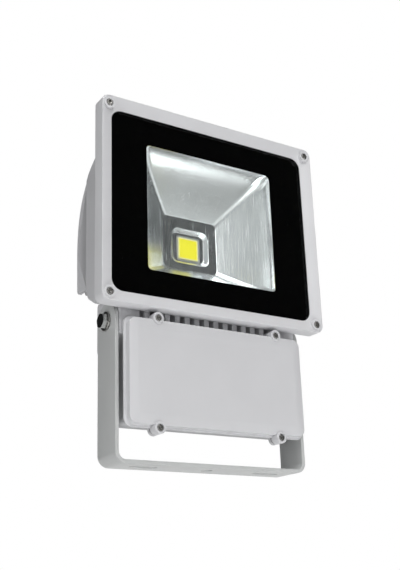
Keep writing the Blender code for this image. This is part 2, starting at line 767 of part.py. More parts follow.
def driver_cover(parent, finish):
    """Lid like a tray: narrow flange, straight side, rounded edge, gentle slope and flat panel."""
    side = LID_LEDGE_SIDE
    bottom = LID_LEDGE_BOTTOM
    top = LID_LEDGE_TOP
    rear = LID_FLANGE_Y + LID_FLANGE_T
    rim_y = LID_PANEL_Y + LID_RIM_DROP
    slope = LID_PANEL_SLOPE
    radius = LID_CORNER_R
    edge = LID_EDGE
    half = LID_EDGE / 3
    outside = [
        lid_ring(0, 0, 0, rear, radius),
        lid_ring(0, 0, 0, LID_FLANGE_Y + half, radius),
        lid_ring(half, half, half, LID_FLANGE_Y, radius),
        lid_ring(side, bottom, top, LID_FLANGE_Y, radius),
        lid_ring(side, bottom, top, rim_y + edge, radius),
        lid_ring(side + half, bottom + half, top + half, rim_y + half, radius),
        lid_ring(side + edge, bottom + edge, top + edge, rim_y, radius),
        lid_ring(side + slope, bottom + slope, top + slope, LID_PANEL_Y, LID_PANEL_R),
    ]
    wall = LID_WALL
    deep = LID_PANEL_Y + wall
    inner_slope = slope + wall
    inside = [
        lid_ring(side + inner_slope, bottom + inner_slope, top + inner_slope, deep, LID_PANEL_R),
        lid_ring(side + wall, bottom + wall, top + wall, deep + LID_RIM_DROP, LID_PANEL_R),
        lid_ring(side + wall, bottom + wall, top + wall, rear, LID_PANEL_R),
    ]
    lid = place("driver_cover", round_off(lid_mesh(outside, inside)), finish, parent)
    box_ears(lid, parent, EAR_Y, rear, EAR_R, "lid")
    head_r, head_h, shank_r = LID_SCREW[:3]
    seat = EAR_Y + head_h + GAP
    mesh = screw_mesh("cover_screw", LID_SCREW, True)
    for number, (x, z) in enumerate(ear_spots(), 1):
        counterbore = head_r + COUNTERBORE_CLEARANCE
        cut(lid, cylinder_y(f"lid_sink_{number}", counterbore, 0, seat, x, z, parent))
        hole_r = shank_r + HOLE_CLEARANCE
        tag = f"lid_hole_{number}"
        cut(lid, cylinder_y(tag, hole_r, 0, rear + EMBED, x, z, parent, SCREW_STEPS))
        place(f"cover_screw_{number}", mesh, STEEL, parent, (x, seat - GAP, z), (pi / 2, 0, 0))


def lid_mesh(outer_rings, inner_rings):
    """Skin the lid: its front is one cap, its inside another, and its rear edge joins both."""
    bm = bmesh.new()
    outside = [[bm.verts.new(point) for point in ring] for ring in outer_rings]
    inside = [[bm.verts.new(point) for point in ring] for ring in inner_rings]
    pairs = list(zip(outside, outside[1:])) + list(zip(inside, inside[1:]))
    pairs.append((outside[0], inside[-1]))
    count = len(outside[0])
    for low, high in pairs:
        for i in range(count):
            j = (i + 1) % count
            bm.faces.new((low[i], low[j], high[j], high[i]))
    bm.faces.new(outside[-1])
    bm.faces.new(inside[0])
    bmesh.ops.recalc_face_normals(bm, faces=bm.faces)
    mesh = bpy.data.meshes.new("driver_cover")
    bm.to_mesh(mesh)
    bm.free()
    return mesh


def driver_gasket(parent):
    rear = GASKET_Y + GASKET_T
    inner = GASKET_INSET + GASKET_W
    rings = [
        flange_ring(GASKET_INSET, GASKET_Y),
        flange_ring(GASKET_INSET, rear),
        flange_ring(inner, rear),
        flange_ring(inner, GASKET_Y),
    ]
    gasket = place("driver_gasket", rings_mesh("driver_gasket", [rings], True), RUBBER, parent)
    for number, (x, z) in enumerate(ear_spots(), 1):
        tag = f"gasket_ear_{number}"
        join(gasket, cylinder_y(tag, EAR_R - GASKET_INSET, GASKET_Y, rear, x, z, parent))
        hole_r = LID_SCREW[2] + HOLE_CLEARANCE
        tool = cylinder_y(f"gasket_hole_{number}", hole_r, 0, rear + EMBED, x, z, parent, SCREW_STEPS)
        cut(gasket, tool)


def neck_outline():
    """Bridge from the box up to the casting's sloping underside."""
    return [
        (NECK_FRONT, -NECK_CEILING - 0.004),
        (NECK_FRONT, under_z(NECK_FRONT) - GAP),
        (NECK_REAR, under_z(NECK_REAR) - GAP),
        (NECK_REAR, -NECK_CEILING - 0.004),
    ]


def boss_outline():
    """Side cheek that carries a tilt bolt, with its rounded lower rear corner."""
    rear = CHEEK_REAR
    radius = CHEEK_REAR_R
    corner_z = -CHEEK_REAR_Z + radius
    outline = [
        (NECK_FRONT, -CHEEK_FRONT_Z),
        (NECK_FRONT, under_z(NECK_FRONT) - GAP * 2),
        (UNDER_DEPTH, under_z(UNDER_DEPTH) - GAP * 2),
        (rear, under_z(UNDER_DEPTH) - 0.003),
    ]
    outline += arc((rear - radius, corner_z), radius, 0, -pi / 2 - radians(20), 5)
    return outline


def driver_housing(parent, finish):
    """Box with a front flange and ears, its slotted neck and the side cheeks of the tilt bolts."""
    rings = [flange_ring(0, BOX_FLANGE_Y), flange_ring(0, BOX_BODY_Y)]
    box = place("driver_housing", rings_mesh("driver_housing", [rings]), finish, parent)
    top_z = -LID_TOP - BOX_FLANGE_SIDE
    low_z = -LID_BOTTOM + BOX_INSET_BOTTOM
    half_z = (top_z - low_z) / 2
    half_x = LID_W / 2 - BOX_INSET_SIDE
    centre = (top_z + low_z) / 2
    drafted_x = half_x - BOX_DRAFT
    edge = BOX_REAR_EDGE
    rear = BOX_BACK_Y
    body = [
        rounded_rect(half_x, half_z - GAP, BOX_CORNER_R, BOX_BODY_Y - EMBED, 0, centre),
        rounded_rect(drafted_x, half_z - GAP, BOX_CORNER_R, rear - edge, 0, centre),
        rounded_rect(drafted_x - edge, half_z - edge, BOX_CORNER_R, rear, 0, centre),
    ]
    join(box, place("box_body", rings_mesh("box_body", [body]), None, parent))
    neck_x = NECK_X - NECK_TRIM
    neck = rings_mesh("box_neck", [prism_x(neck_outline(), -neck_x, neck_x)])
    join(box, place("box_neck", neck, None, parent))
    for side in (-1, 1):
        low, high = sorted((side * NECK_X, side * (NECK_X - CHEEK_SIDE_T)))
        cheek = rings_mesh("box_cheek", [prism_x(boss_outline(), low, high)])
        join(box, place(f"box_cheek_{side}", cheek, None, parent))
    cut(box, place("box_slots", rings_mesh("box_slots", neck_slots()), None, parent))
    box_ears(box, parent, BOX_FLANGE_Y, BOX_BODY_Y + EMBED / 2, EAR_R, "box")
    hollow_box(box, parent)
    return box


def neck_slots():
    """Open slots in line with those of the casting; the outermost two stop short of the screws."""
    front = NECK_FRONT - EMBED
    last = (NECK_SLOT_COUNT - 1) / 2
    slots = []
    for i in range(NECK_SLOT_COUNT):
        rear = NECK_SLOT_SHORT if i in (0, NECK_SLOT_COUNT - 1) else NECK_REAR + EMBED
        outline = [
            (front, -NECK_FLOOR),
            (front, -UNDER_REAR),
            (rear, -UNDER_REAR),
            (rear, -NECK_FLOOR),
        ]
        x = (i - last) * FIN_PITCH
        slots.append(prism_x(outline, x - NECK_SLOT / 2, x + NECK_SLOT / 2))
    return slots


def hollow_box(box, parent):
    """Cavity and all the holes of the driver box."""
    front = BOX_FLANGE_Y - EMBED
    inner_x = LID_W / 2 - BOX_INSET_SIDE - BOX_WALL
    low = -LID_BOTTOM + BOX_INSET_BOTTOM + BOX_WALL
    spans = (inner_x, front, BOX_INNER_Y, low, -BOSS_CEILING)
    cavity = helper_block("box_cavity", *spans, parent)
    bevel(cavity, 0.003, 1)
    cut(box, cavity)
    beside_head = COUPLING_SCREW[0] + HOLE_CLEARANCE
    upper_x = COUPLING_X + beside_head
    upper_rear = COUPLING_REAR + beside_head
    spans = (upper_x, front, upper_rear, -BOSS_CEILING - BOX_WALL, -NECK_CEILING)
    cut(box, helper_block("box_upper", *spans, parent))
    deep = LID_SCREW[3] + EAR_Y + LID_SCREW[1] + EMBED
    for number, (x, z) in enumerate(ear_spots(), 1):
        hole_r = LID_SCREW[2] + HOLE_CLEARANCE
        cut(box, cylinder_y(f"box_hole_{number}", hole_r, 0, deep, x, z, parent, SCREW_STEPS))
    for side in (-1, 1):
        tip = LEG_INNER_X - BOLT_ENGAGE
        ends = sorted((side * tip, side * (LEG_INNER_X + EMBED)))
        mesh = rings_mesh("bolt_hole", [[disc_ring(BOLT_R + GAP, end) for end in ends]])
        spot = (0, PIVOT_DEPTH, -PIVOT_DROP)
        cut(box, place(f"box_bolt_hole_{side}", mesh, None, parent, spot, (0, pi / 2, 0)))
    for number, (x, y) in enumerate(coupling_spots(), 1):
        hole_r = COUPLING_SCREW[2] + HOLE_CLEARANCE
        tag = f"box_coupling_hole_{number}"
        cut(box, cylinder_z(tag, hole_r, -BOSS_CEILING, -UNDER_REAR, x, y, parent, SCREW_STEPS))
    spot = (LEAD_X, LEAD_Y, parent)
    cut(box, cylinder_z("box_lead_hole", LEAD_HOLE_R, -BOSS_CEILING, -UNDER_REAR, *spot))
    seat_top = -NECK_CEILING + GROMMET_T
    cut(box, cylinder_z("box_grommet_seat", GROMMET_R + GAP, -BOSS_CEILING, seat_top, *spot))
    post_front = BOX_INNER_Y - MODULE_POST_H
    for number, x in enumerate(module_screw_spots(), 1):
        tag = f"box_post_{number}"
        spot = (x, -MODULE_Z, parent)
        join(box, cylinder_y(tag, MODULE_POST_R, post_front, BOX_INNER_Y + EMBED, *spot))
        hole_r = MODULE_SCREW[2] + HOLE_CLEARANCE
        deep = post_front + MODULE_SCREW[3] - MODULE_TAB_T + EMBED
        cut(box, cylinder_y(f"{tag}_hole", hole_r, post_front - EMBED, deep, *spot, SCREW_STEPS))
    spans = (GLAND_R + GAP, BOX_INNER_Y - EMBED, BOX_BACK_Y + EMBED)
    cut(box, cylinder_y("box_gland_hole", *spans, 0, -GLAND_Z, parent))


def helper_block(name, half_x, low_y, high_y, low_z, high_z, parent):
    outline = [(low_y, low_z), (low_y, high_z), (high_y, high_z), (high_y, low_z)]
    return place(name, rings_mesh(name, [prism_x(outline, -half_x, half_x)]), None, parent)


def module_screw_spots():
    x = MODULE_W / 2 + MODULE_TAB / 2
    return (-x, x)


def driver_module(parent):
    rear = BOX_INNER_Y - MODULE_POST_H - GAP
    front = rear - MODULE_DEPTH
    edge = 0.002
    half = (MODULE_W / 2, MODULE_H / 2)
    rings = [
        rounded_rect(half[0] - edge, half[1] - edge, 0.003, front, 0, -MODULE_Z),
        rounded_rect(*half, 0.003, front + edge, 0, -MODULE_Z),
        rounded_rect(*half, 0.003, rear, 0, -MODULE_Z),
    ]
    module = place("driver_module", rings_mesh("driver_module", [rings]), ALUMINIUM, parent)
    low = -MODULE_Z - MODULE_TAB_H / 2
    high = -MODULE_Z + MODULE_TAB_H / 2
    reach = MODULE_W / 2 + MODULE_TAB
    spans = (reach, rear - MODULE_TAB_T, rear - PLANE_STEP, low, high)
    join(module, helper_block("module_tabs", *spans, parent))
    mesh = screw_mesh("module_screw", MODULE_SCREW)
    for number, x in enumerate(module_screw_spots(), 1):
        hole_r = MODULE_SCREW[2] + HOLE_CLEARANCE
        tag = f"module_hole_{number}"
        cut(module, cylinder_y(tag, hole_r, front, rear + EMBED, x, -MODULE_Z, parent, SCREW_STEPS))
        spot = (x, rear - MODULE_TAB_T - GAP, -MODULE_Z)
        place(f"module_screw_{number}", mesh, STEEL, parent, spot, (pi / 2, 0, 0))


def coupling_screws(parent):
    mesh = screw_mesh("coupling_screw", COUPLING_SCREW)
    for number, (x, y) in enumerate(coupling_spots(), 1):
        spot = (x, y, -NECK_CEILING - GAP)
        place(f"coupling_screw_{number}", mesh, STEEL, parent, spot, (pi, 0, 0))


def led_lead(parent):
    """Two-core lead from the driver, up through the neck and behind the reflector."""
    plate_x = WELL_W / 2 + REFLECTOR_T + 0.0007
    over_plate = PLATE_Y - GAP - LEAD_R - PLANE_STEP
    module_x = MODULE_W / 2 + GAP
    route = [
        (module_x, LEAD_Y - 0.0045, -MODULE_Z + 0.016),
        (module_x + 0.005, LEAD_Y - 0.0035, -MODULE_Z + 0.017),
        (LEAD_X - 0.001, LEAD_Y - 0.001, -MODULE_Z + 0.026),
        (LEAD_X, LEAD_Y, -BOSS_CEILING - 0.002),
        (LEAD_X, LEAD_Y, -NECK_CEILING + GROMMET_T),
        (LEAD_X, LEAD_Y, -UNDER_FRONT - 0.004),
        (LEAD_X, LEAD_Y, -COUPLING_BOSS_TOP - 0.009),
        (LEAD_X - 0.002, LEAD_Y + 0.0055, -COUPLING_BOSS_TOP + 0.003),
        (LEAD_X - 0.011, BASE_Y - 0.006, -BASE_H + 0.002),
        (LEAD_X - 0.024, BASE_Y + 0.001, -BASE_H / 2 - 0.003),
        (plate_x + 0.0195, over_plate, -EMITTER_DROP - 0.001),
        (plate_x + 0.0115, over_plate, -EMITTER_DROP),
        (plate_x, over_plate, -EMITTER_DROP),
    ]
    curve = bpy.data.curves.new("led_lead", "CURVE")
    curve.dimensions = "3D"
    points = smooth_route(route, 2)
    spline = curve.splines.new("POLY")
    spline.points.add(len(points) - 1)
    for target, point in zip(spline.points, points):
        target.co = (*point, 1)
    curve.bevel_depth = LEAD_R
    curve.bevel_resolution = 2
    curve.use_fill_caps = True
    place("led_lead", curve, CABLE, parent)


def smooth_route(route, steps):
    """Smooth curve through the route's own points."""
    knots = [Vector(point) for point in route]
    knots = [2 * knots[0] - knots[1]] + knots + [2 * knots[-1] - knots[-2]]
    points = []
    for a, b, c, d in zip(knots, knots[1:], knots[2:], knots[3:]):
        for i in range(steps):
            t = i / steps
            points.append(
                0.5 * (2 * b + (c - a) * t + (2 * a - 5 * b + 4 * c - d) * t * t
                       + (3 * b - a - 3 * c + d) * t * t * t)
            )
    points.append(knots[-2])
    return points


def tube_mesh(name, rings):
    return round_off(rings_mesh(name, [rings], True))


def lead_grommet(parent):
    bore = LEAD_R + GAP
    rings = [
        disc_ring(bore, 0),
        disc_ring(GROMMET_R, 0),
        disc_ring(GROMMET_R, GROMMET_T - GAP),
        disc_ring(bore, GROMMET_T - GAP),
    ]
    spot = (LEAD_X, LEAD_Y, -NECK_CEILING)
    place("lead_grommet", tube_mesh("lead_grommet", rings), RUBBER, parent, spot)


def cable_gland(parent):
    """Blank cable inlet through the rear wall: body, locknut, seal and cap, along +y."""
    turn = (-pi / 2, 0, 0)
    spot = (0, BOX_BACK_Y, -GLAND_Z)
    collar = GAP + GLAND_COLLAR_T
    tail = -BOX_WALL - GAP * 2 - GLAND_NUT_T
    steps = SCREW_STEPS
    body = [
        disc_ring(GLAND_BORE_R, tail, steps),
        disc_ring(GLAND_R, tail, steps),
        disc_ring(GLAND_R, GAP, steps),
        hex_ring(GLAND_COLLAR_AF, GAP, steps),
        hex_ring(GLAND_COLLAR_AF, collar, steps),
        disc_ring(GLAND_NECK_R, collar, steps),
        disc_ring(GLAND_NECK_R, collar + GLAND_NECK_L, steps),
        disc_ring(GLAND_BORE_R, collar + GLAND_NECK_L, steps),
    ]
    place("gland_body", tube_mesh("gland_body", body), NYLON, parent, spot, turn)
    nut_top = -BOX_WALL - GAP
    nut = [
        disc_ring(GLAND_R + GAP, nut_top - GLAND_NUT_T, steps),
        hex_ring(GLAND_NUT_AF, nut_top - GLAND_NUT_T, steps),
        hex_ring(GLAND_NUT_AF, nut_top, steps),
        disc_ring(GLAND_R + GAP, nut_top, steps),
    ]
    place("gland_locknut", tube_mesh("gland_locknut", nut), NYLON, parent, spot, turn)
    seal_low = collar + GLAND_NECK_L + GAP
    seal_high = seal_low + GLAND_SEAL_L
    seal = [
        disc_ring(GLAND_SEAL_BORE_R, seal_low),
        disc_ring(GLAND_SEAL_R, seal_low),
        disc_ring(GLAND_SEAL_R, seal_high),
        disc_ring(GLAND_SEAL_BORE_R, seal_high),
    ]
    place("gland_seal", tube_mesh("gland_seal", seal), RUBBER, parent, spot, turn)
    low = collar + GAP
    shoulder = collar + GLAND_CAP_L * 0.65
    high = collar + GLAND_CAP_L
    cap = [
        disc_ring(GLAND_NECK_R + GAP, low, steps),
        disc_ring(GLAND_CAP_R, low, steps),
        disc_ring(GLAND_CAP_R * 0.97, shoulder, steps),
        disc_ring(GLAND_CAP_R * 0.84, high - GLAND_CAP_L * 0.12, steps),
        disc_ring(GLAND_CAP_R * 0.60, high, steps),
        disc_ring(GLAND_BORE_R, high, steps),
        disc_ring(GLAND_BORE_R, seal_high + GAP, steps),
        disc_ring(GLAND_SEAL_R + GAP, seal_high + GAP, steps),
        disc_ring(GLAND_SEAL_R + GAP, seal_low, steps),
        disc_ring(GLAND_NECK_R + GAP, seal_low, steps),
    ]
    place("gland_cap", tube_mesh("gland_cap", cap), NYLON, parent, spot, turn)


def strip_path(grow, steps=6):
    """Half of the bracket's outline in (x, z), from the leg's top down to the middle."""
    half = LEG_INNER_X + grow
    low = STRIP_T - grow
    radius = BEND_R - STRIP_T + grow
    bend = arc((half - radius, low + radius), radius, 0, -pi / 2, steps)
    return [(half, PIVOT_HEIGHT + STRIP_W / 2)] + bend


def bracket(finish):
    """Bent flat strip: U outline drawn out across its width, then trimmed and pierced."""
    outer = strip_path(STRIP_T)
    inner = strip_path(0)
    half = outer + [(-x, z) for x, z in reversed(outer)]
    back = inner + [(-x, z) for x, z in reversed(inner)]
    outline = half + list(reversed(back))
    ring = [[(x, y, z) for x, z in outline] for y in (-STRIP_W / 2, STRIP_W / 2)]
    strip = place("bracket", rings_mesh("bracket", [ring]), finish)
    reach = LEG_OUTER_X + EMBED
    outline = [(-STRIP_W, PIVOT_HEIGHT), (-STRIP_W, PIVOT_HEIGHT + STRIP_W)]
    outline += [(STRIP_W, PIVOT_HEIGHT + STRIP_W), (STRIP_W, PIVOT_HEIGHT)]
    outline += arc((0, PIVOT_HEIGHT), STRIP_W / 2, 0, pi, 16)
    corners = rings_mesh("corners", [prism_x(outline, -reach, reach)])
    cut(strip, place("bracket_corners", corners, None))
    hole = [[disc_ring(BOLT_R + HOLE_CLEARANCE * 2, x) for x in (-reach, reach)]]
    spot = (0, 0, PIVOT_HEIGHT)
    cut(strip, place("bracket_pivot", rings_mesh("pivot", hole), None, None, spot, (0, pi / 2, 0)))
    cut(strip, cylinder_z("bracket_centre", BASE_HOLE_R, -EMBED, STRIP_T + EMBED, 0, 0, None, 20))
    for side in (-1, 1):
        rings = [slot_ring(side * BASE_SLOT_X, z) for z in (-EMBED, STRIP_T + EMBED)]
        cut(strip, place(f"bracket_slot_{side}", rings_mesh("slot", [rings]), None))
    return strip


def slot_ring(centre, z):
    radius = BASE_SLOT_W / 2
    straight = BASE_SLOT_L / 2 - radius
    points = []
    for side, start in ((1, -pi / 2), (-1, pi / 2)):
        for i in range(9):
            angle = start + pi * i / 8
            points.append((centre + side * straight + radius * cos(angle), radius * sin(angle), z))
    return points


def hex_bolt_mesh():
    """Hexagon bolt along +z with the underside of its head at z = 0."""
    across = BOLT_HEAD_AF
    shank = STRIP_T + BOLT_ENGAGE + WASHER_T + GAP - BOLT_END_GAP
    steps = SCREW_STEPS
    rings = [
        disc_ring(BOLT_R * 0.8, -shank, steps),
        disc_ring(BOLT_R, -shank + BOLT_R * 0.2, steps),
        disc_ring(BOLT_R, 0, steps),
        hex_ring(across, 0, steps),
        hex_ring(across, BOLT_HEAD_H * 0.82, steps),
        disc_ring(across * 0.485, BOLT_HEAD_H, steps),
    ]
    mesh = rings_mesh("pivot_bolt", [rings])
    mesh.transform(Matrix.Rotation(BOLT_SPIN, 4, "Z"))
    return round_off(mesh)


def tilt_bolts(parent):
    """Bolt and flat washer on each side, on the tilt axis."""
    bore = BOLT_R + GAP
    washer = [
        disc_ring(bore, 0),
        disc_ring(WASHER_R, 0),
        disc_ring(WASHER_R, WASHER_T),
        disc_ring(bore, WASHER_T),
    ]
    washer_mesh = tube_mesh("flat_washer", washer)
    bolt_mesh = hex_bolt_mesh()
    for side, name in ((-1, "left"), (1, "right")):
        turn = (0, side * pi / 2, 0)
        washer_x = LEG_OUTER_X + GAP
        head_x = washer_x + WASHER_T + GAP
        place(f"flat_washer_{name}", washer_mesh, STEEL, parent, (side * washer_x, 0, 0), turn)
        place(f"pivot_bolt_{name}", bolt_mesh, CHROME, parent, (side * head_x, 0, 0), turn)


def build():
    bracket(PAINT)
    tilt_axis = empty("tilt_axis", (0, 0, PIVOT_HEIGHT))
    face = empty("lamp_face", (0, -PIVOT_DEPTH, PIVOT_DROP), tilt_axis)
    front_frame(face, PAINT)
    glass_parts(face)
    reflector(face)
    light_source(face)
    heatsink(face, PAINT)
    driver_housing(face, PAINT)
    driver_gasket(face)
    driver_cover(face, PAINT)
    driver_module(face)
    coupling_screws(face)
    led_lead(face)
    lead_grommet(face)
    cable_gland(face)
    tilt_bolts(tilt_axis)


clear_scene()
PAINT = material("grey_paint", (0.62, 0.63, 0.64), 0.5, 0.0)
STEEL = material("steel", (0.55, 0.55, 0.54), 0.3, 1.0)
CHROME = material("chrome", (0.80, 0.80, 0.79), 0.15, 1.0)
ALUMINIUM = material("aluminium", (0.75, 0.76, 0.77), 0.4, 1.0)
MIRROR = material("reflector_metal", (0.85, 0.86, 0.86), 0.2, 1.0)
BLACK = material("black_print", (0.01, 0.01, 0.01), 0.4, 0.0)
RUBBER = material("rubber", (0.03, 0.03, 0.03), 0.8, 0.0)
GLASS = material("glass", (0.95, 0.97, 0.96), 0.02, 0.0)
PHOSPHOR = material("phosphor", (0.86, 0.82, 0.10), 0.6, 0.0)
CABLE = material("cable", (0.60, 0.06, 0.05), 0.6, 0.0)
NYLON = material("nylon", (0.05, 0.05, 0.05), 0.5, 0.0)
build()
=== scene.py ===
"""Looks of the LED floodlight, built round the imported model.

Units are metres, +Z is up and the lamp faces -Y. Pieces of the lamp head are drawn in face
coordinates: x to the side, y the depth behind the front face, z the height above its centre.
Names end in W, H, L, T or R for a width, height, length, thickness or radius, in X, Y or Z for
a place in face coordinates, and in EDGE for the rounding of an edge. Heights below the centre
are named without their minus sign.
"""

from math import cos, pi, radians, sin

import bmesh
import bpy
import numpy as np
from mathutils import Matrix, Vector
from mathutils.geometry import interpolate_bezier

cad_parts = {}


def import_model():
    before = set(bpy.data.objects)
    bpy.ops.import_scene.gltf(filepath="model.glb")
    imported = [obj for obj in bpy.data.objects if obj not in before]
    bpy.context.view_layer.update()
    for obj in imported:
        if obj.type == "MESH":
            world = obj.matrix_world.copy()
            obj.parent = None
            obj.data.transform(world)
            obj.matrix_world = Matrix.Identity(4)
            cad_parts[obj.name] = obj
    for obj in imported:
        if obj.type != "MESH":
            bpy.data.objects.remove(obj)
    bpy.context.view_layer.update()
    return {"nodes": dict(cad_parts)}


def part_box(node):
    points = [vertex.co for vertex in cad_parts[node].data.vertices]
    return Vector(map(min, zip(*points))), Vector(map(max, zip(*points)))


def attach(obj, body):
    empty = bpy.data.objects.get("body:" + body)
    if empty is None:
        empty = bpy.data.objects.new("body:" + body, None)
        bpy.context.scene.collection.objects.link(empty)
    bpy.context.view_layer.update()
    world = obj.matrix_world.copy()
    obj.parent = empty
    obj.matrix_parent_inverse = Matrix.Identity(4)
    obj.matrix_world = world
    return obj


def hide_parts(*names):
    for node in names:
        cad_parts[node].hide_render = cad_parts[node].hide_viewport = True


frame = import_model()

# Fineness of the drawn surfaces
CORNER_STEPS = 10
ROUND_STEPS = 48
SCREW_STEPS = 36
HOLE_STEPS = 24
BEND_STEPS = 16
FILLET_STEPS = 4
SOFT_STEPS = 3
END_STEPS = 40

# Angles in degrees: above the first an edge stays sharp, above the second it is softened
CREASE = 32
SOFT_ANGLE = 35

# Overlap of joined shapes and the least gap between pieces
EMBED = 0.001
GAP = 0.0003

# Places read from the model
BOSS_FRONT = 0.0003
FRAME_LOW, FRAME_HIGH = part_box("front_frame")
FACE = Vector((0, FRAME_LOW.y - BOSS_FRONT, (FRAME_LOW.z + FRAME_HIGH.z) / 2))
PIVOT_LOW, PIVOT_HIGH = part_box("flat_washer_left")
PIVOT = (PIVOT_LOW + PIVOT_HIGH) / 2


def face_box(node):
    """Lowest and highest corners of a node in face coordinates."""
    low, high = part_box(node)
    return low - FACE, high - FACE


def face_centre(node):
    """Centre (x, z) of a node seen from the front, in face coordinates."""
    low, high = face_box(node)
    return (low.x + high.x) / 2, (low.z + high.z) / 2


# Front frame
FACE_W = FRAME_HIGH.x - FRAME_LOW.x
FACE_H = FRAME_HIGH.z - FRAME_LOW.z
FRAME_DEPTH = FRAME_HIGH.y - FACE.y
FACE_CORNER_R = 0.009
BORDER = 0.0135
BORDER_EDGE_Y = 0.0006
BORDER_DROP = 0.0053
OPENING_R = 0.013
EDGE_BEVEL = 0.0014
SKIRT_T = 0.0035
GROOVE_WEB = 0.0055
POCKET_WALL = 0.0025
POCKET_CLEARANCE = 0.0005
POCKET_DEPTH = 0.0036
FRAME_REAR_EDGE = 0.0004
OPENING_EDGE = 0.0005
FRAME_BOSS_R = 0.0065
FRAME_SINK_Y = 0.0004
FRAME_SEAT_Y = 0.0033
FRAME_HOLE_R = 0.002

# Screws: height of the head and radius of the shank
FRAME_SCREW = (0.0030, 0.0017)
LID_SCREW = (0.0026, 0.0017)
SCREW_EDGE = 0.0003
BORE_CLEARANCE = 0.0006
BORE_FLARE = 0.0004

# A screw's tip as shares of the shank's radius, the rest as shares of the head's radius and height
SHANK_TIP = (0.7, 0.4)
DOME = (0.84, 0.72)
SOCKET_RIM_R = 0.62
SOCKET_W = 0.95
SOCKET_FROM_TO = (0.96, 0.42)
SOCKET_TIP = (0.12, 0.30)

# Glass and its black print
GLASS_LOW, GLASS_HIGH = face_box("glass_pane")
GLASS_Y = GLASS_LOW.y
GLASS_R = 0.015
GLASS_EDGE = 0.0006
GLASS_MARGIN = 0.004
PRINT_LOW, PRINT_HIGH = face_box("glass_border")
WINDOW_W = 0.1676
WINDOW_H = 0.1466
WINDOW_R = 0.005

# Reflector
BOWL_LOW, BOWL_HIGH = face_box("reflector")
MOUTH_Y = BOWL_LOW.y
MOUTH_MARGIN = 0.0022
MOUTH_R = 0.010
REFLECTOR_T = 0.0008
REFLECTOR_HOLE_R = 0.0015
BASE_W = 0.072
BASE_H = 0.064
BASE_R = 0.006
BASE_DROP = 0.014
WALL_POWER = 1.5
WALL_STEPS = 36
WELL_W = 0.050
WELL_H = 0.043
WELL_R = 0.009
WELL_DROP = 0.0025
WELL_DEPTH = 0.0042
WELL_SLOPE = 0.0042
WELL_HOLE_MARGIN = 0.0024
BASE_EDGE = 0.0007
WELL_RIM_EDGE = 0.0009
WELL_FLOOR_EDGE = 0.0006
BASE_Y = BOWL_HIGH.y - WELL_DEPTH - REFLECTOR_T

# Light source
EMITTER_LOW, EMITTER_HIGH = face_box("led_emitter")
DAM_W = 0.0016
DAM_PROUD = 0.0002
DAM_EDGE = 0.0004
DAM_CORNER_R = 0.0022
FIELD_DROP = 0.00025
FIELD_CORNER_R = 0.0014
FIELD_LAP = 0.0001

# Heatsink casting
BODY_W = 0.233
CHEEK_T = 0.006
CHEEK_PROUD = 0.0007
CHEEK_OUT = 0.0015
CHEEK_EDGE = 0.0014
CHEEK_TOP_IN = 0.004
CHEEK_FALL = 1.25
CHEEK_CORNER_IN = 0.006
CHEEK_CORNER_DROP = 0.0118
BODY_WALL = 0.005
FLOOR_T = 0.0084
FLOOR_Y = face_box("led_plate")[1].y + GAP
SLOT_Y = FLOOR_Y + FLOOR_T
SIDE_BACK = 0.015
SIDE_BACK_Y = SLOT_Y + SIDE_BACK
FIN_BACK_Y = face_box("heatsink")[1].y
FIN_PITCH = 0.0123
FIN_SLOT = 0.007
FIN_COUNT = 19
FIN_FOOT = 0.077
FIN_CREST = 0.027
FIN_FOOT_R = 0.007
FIN_FOOT_IN = 0.001
FOOT_STEPS = 10
CROWN_TOP = 0.105
CROWN_ANGLE = radians(36)
CROWN_HANDLE_TOP = 0.0575
CROWN_HANDLE_BACK = 0.0957
CROWN_STEPS = 36
UNDER_FRONT = 0.111
UNDER_REAR = 0.0993
UNDER_DEPTH = 0.069
UNDER_CORNER_IN = 0.0055
UNDER_CORNER_DROP = 0.0125
SLOT_TOP_IN = 0.002
SLOT_TOP_DROP = 0.0045
SLOT_HANDLE_TOP = (0.050, 0.085)
SLOT_HANDLE_BACK = 0.062
SLOT_CURVE_END = 0.02
SLOT_REACH = 0.02
SLOT_STEPS = 20
CAVITY_SIDE = 0.0035
CAVITY_FRONT = 0.0016
CAVITY_SILL = 0.009
CAVITY_HEAD = 0.011
CAVITY_KNEE = (0.030, 0.084)
CAVITY_FLOOR_TOP = 0.040
CAVITY_STEP_Y = 0.022
CAVITY_UNDER_Y = 0.026
SINK_BOSS_R = 0.005
SINK_BOSS_H = 0.0105

# Driver box and its lid; the lid's ledge is given at the side, the bottom and the top
LID_LOW, LID_HIGH = face_box("driver_cover")
BOX_LOW, BOX_HIGH = face_box("driver_housing")
LID_W = LID_HIGH.x - LID_LOW.x
LID_TOP = 0.1269
LID_BOTTOM = 0.2411
LID_CORNER_R = 0.0085
LID_PANEL_Y = 0.005
LID_RIM_DROP = 0.0012
LID_PANEL_SLOPE = 0.0099
LID_PANEL_R = 0.0045
LID_LEDGE = (0.0025, 0.0024, 0.0020)
LID_FLANGE_T = 0.002
LID_WALL = 0.004
LID_FLANGE_EDGE = 0.0006
LID_FOOT_EDGE = 0.0004
LID_RIM_EDGE = 0.0011
LID_SLOPE_EDGE = 0.0008
LID_FLANGE_Y = LID_HIGH.y - LID_FLANGE_T
BOX_FLANGE_Y = BOX_LOW.y
BOX_FLANGE_T = 0.003
BOX_FLANGE_SIDE = 0.0036
BOX_FLANGE_BOTTOM = 0.0012
BOX_FLANGE_LAP = 0.004
BOX_FRONT_EDGE = 0.0004
BOX_FLANGE_EDGE = 0.0008
BOX_BODY_Y = BOX_FLANGE_Y + BOX_FLANGE_T
BOX_BACK_Y = 0.058
BOX_INSET_SIDE = 0.0054
BOX_INSET_BOTTOM = 0.0061
BOX_CORNER_R = 0.0065
BOX_DRAFT = 0.002
BOX_WALL = 0.0035
BOX_REAR_EDGE = 0.004
BOX_REAR_MARGIN = 0.010
EAR_R = 0.0062
EAR_Y = LID_LOW.y
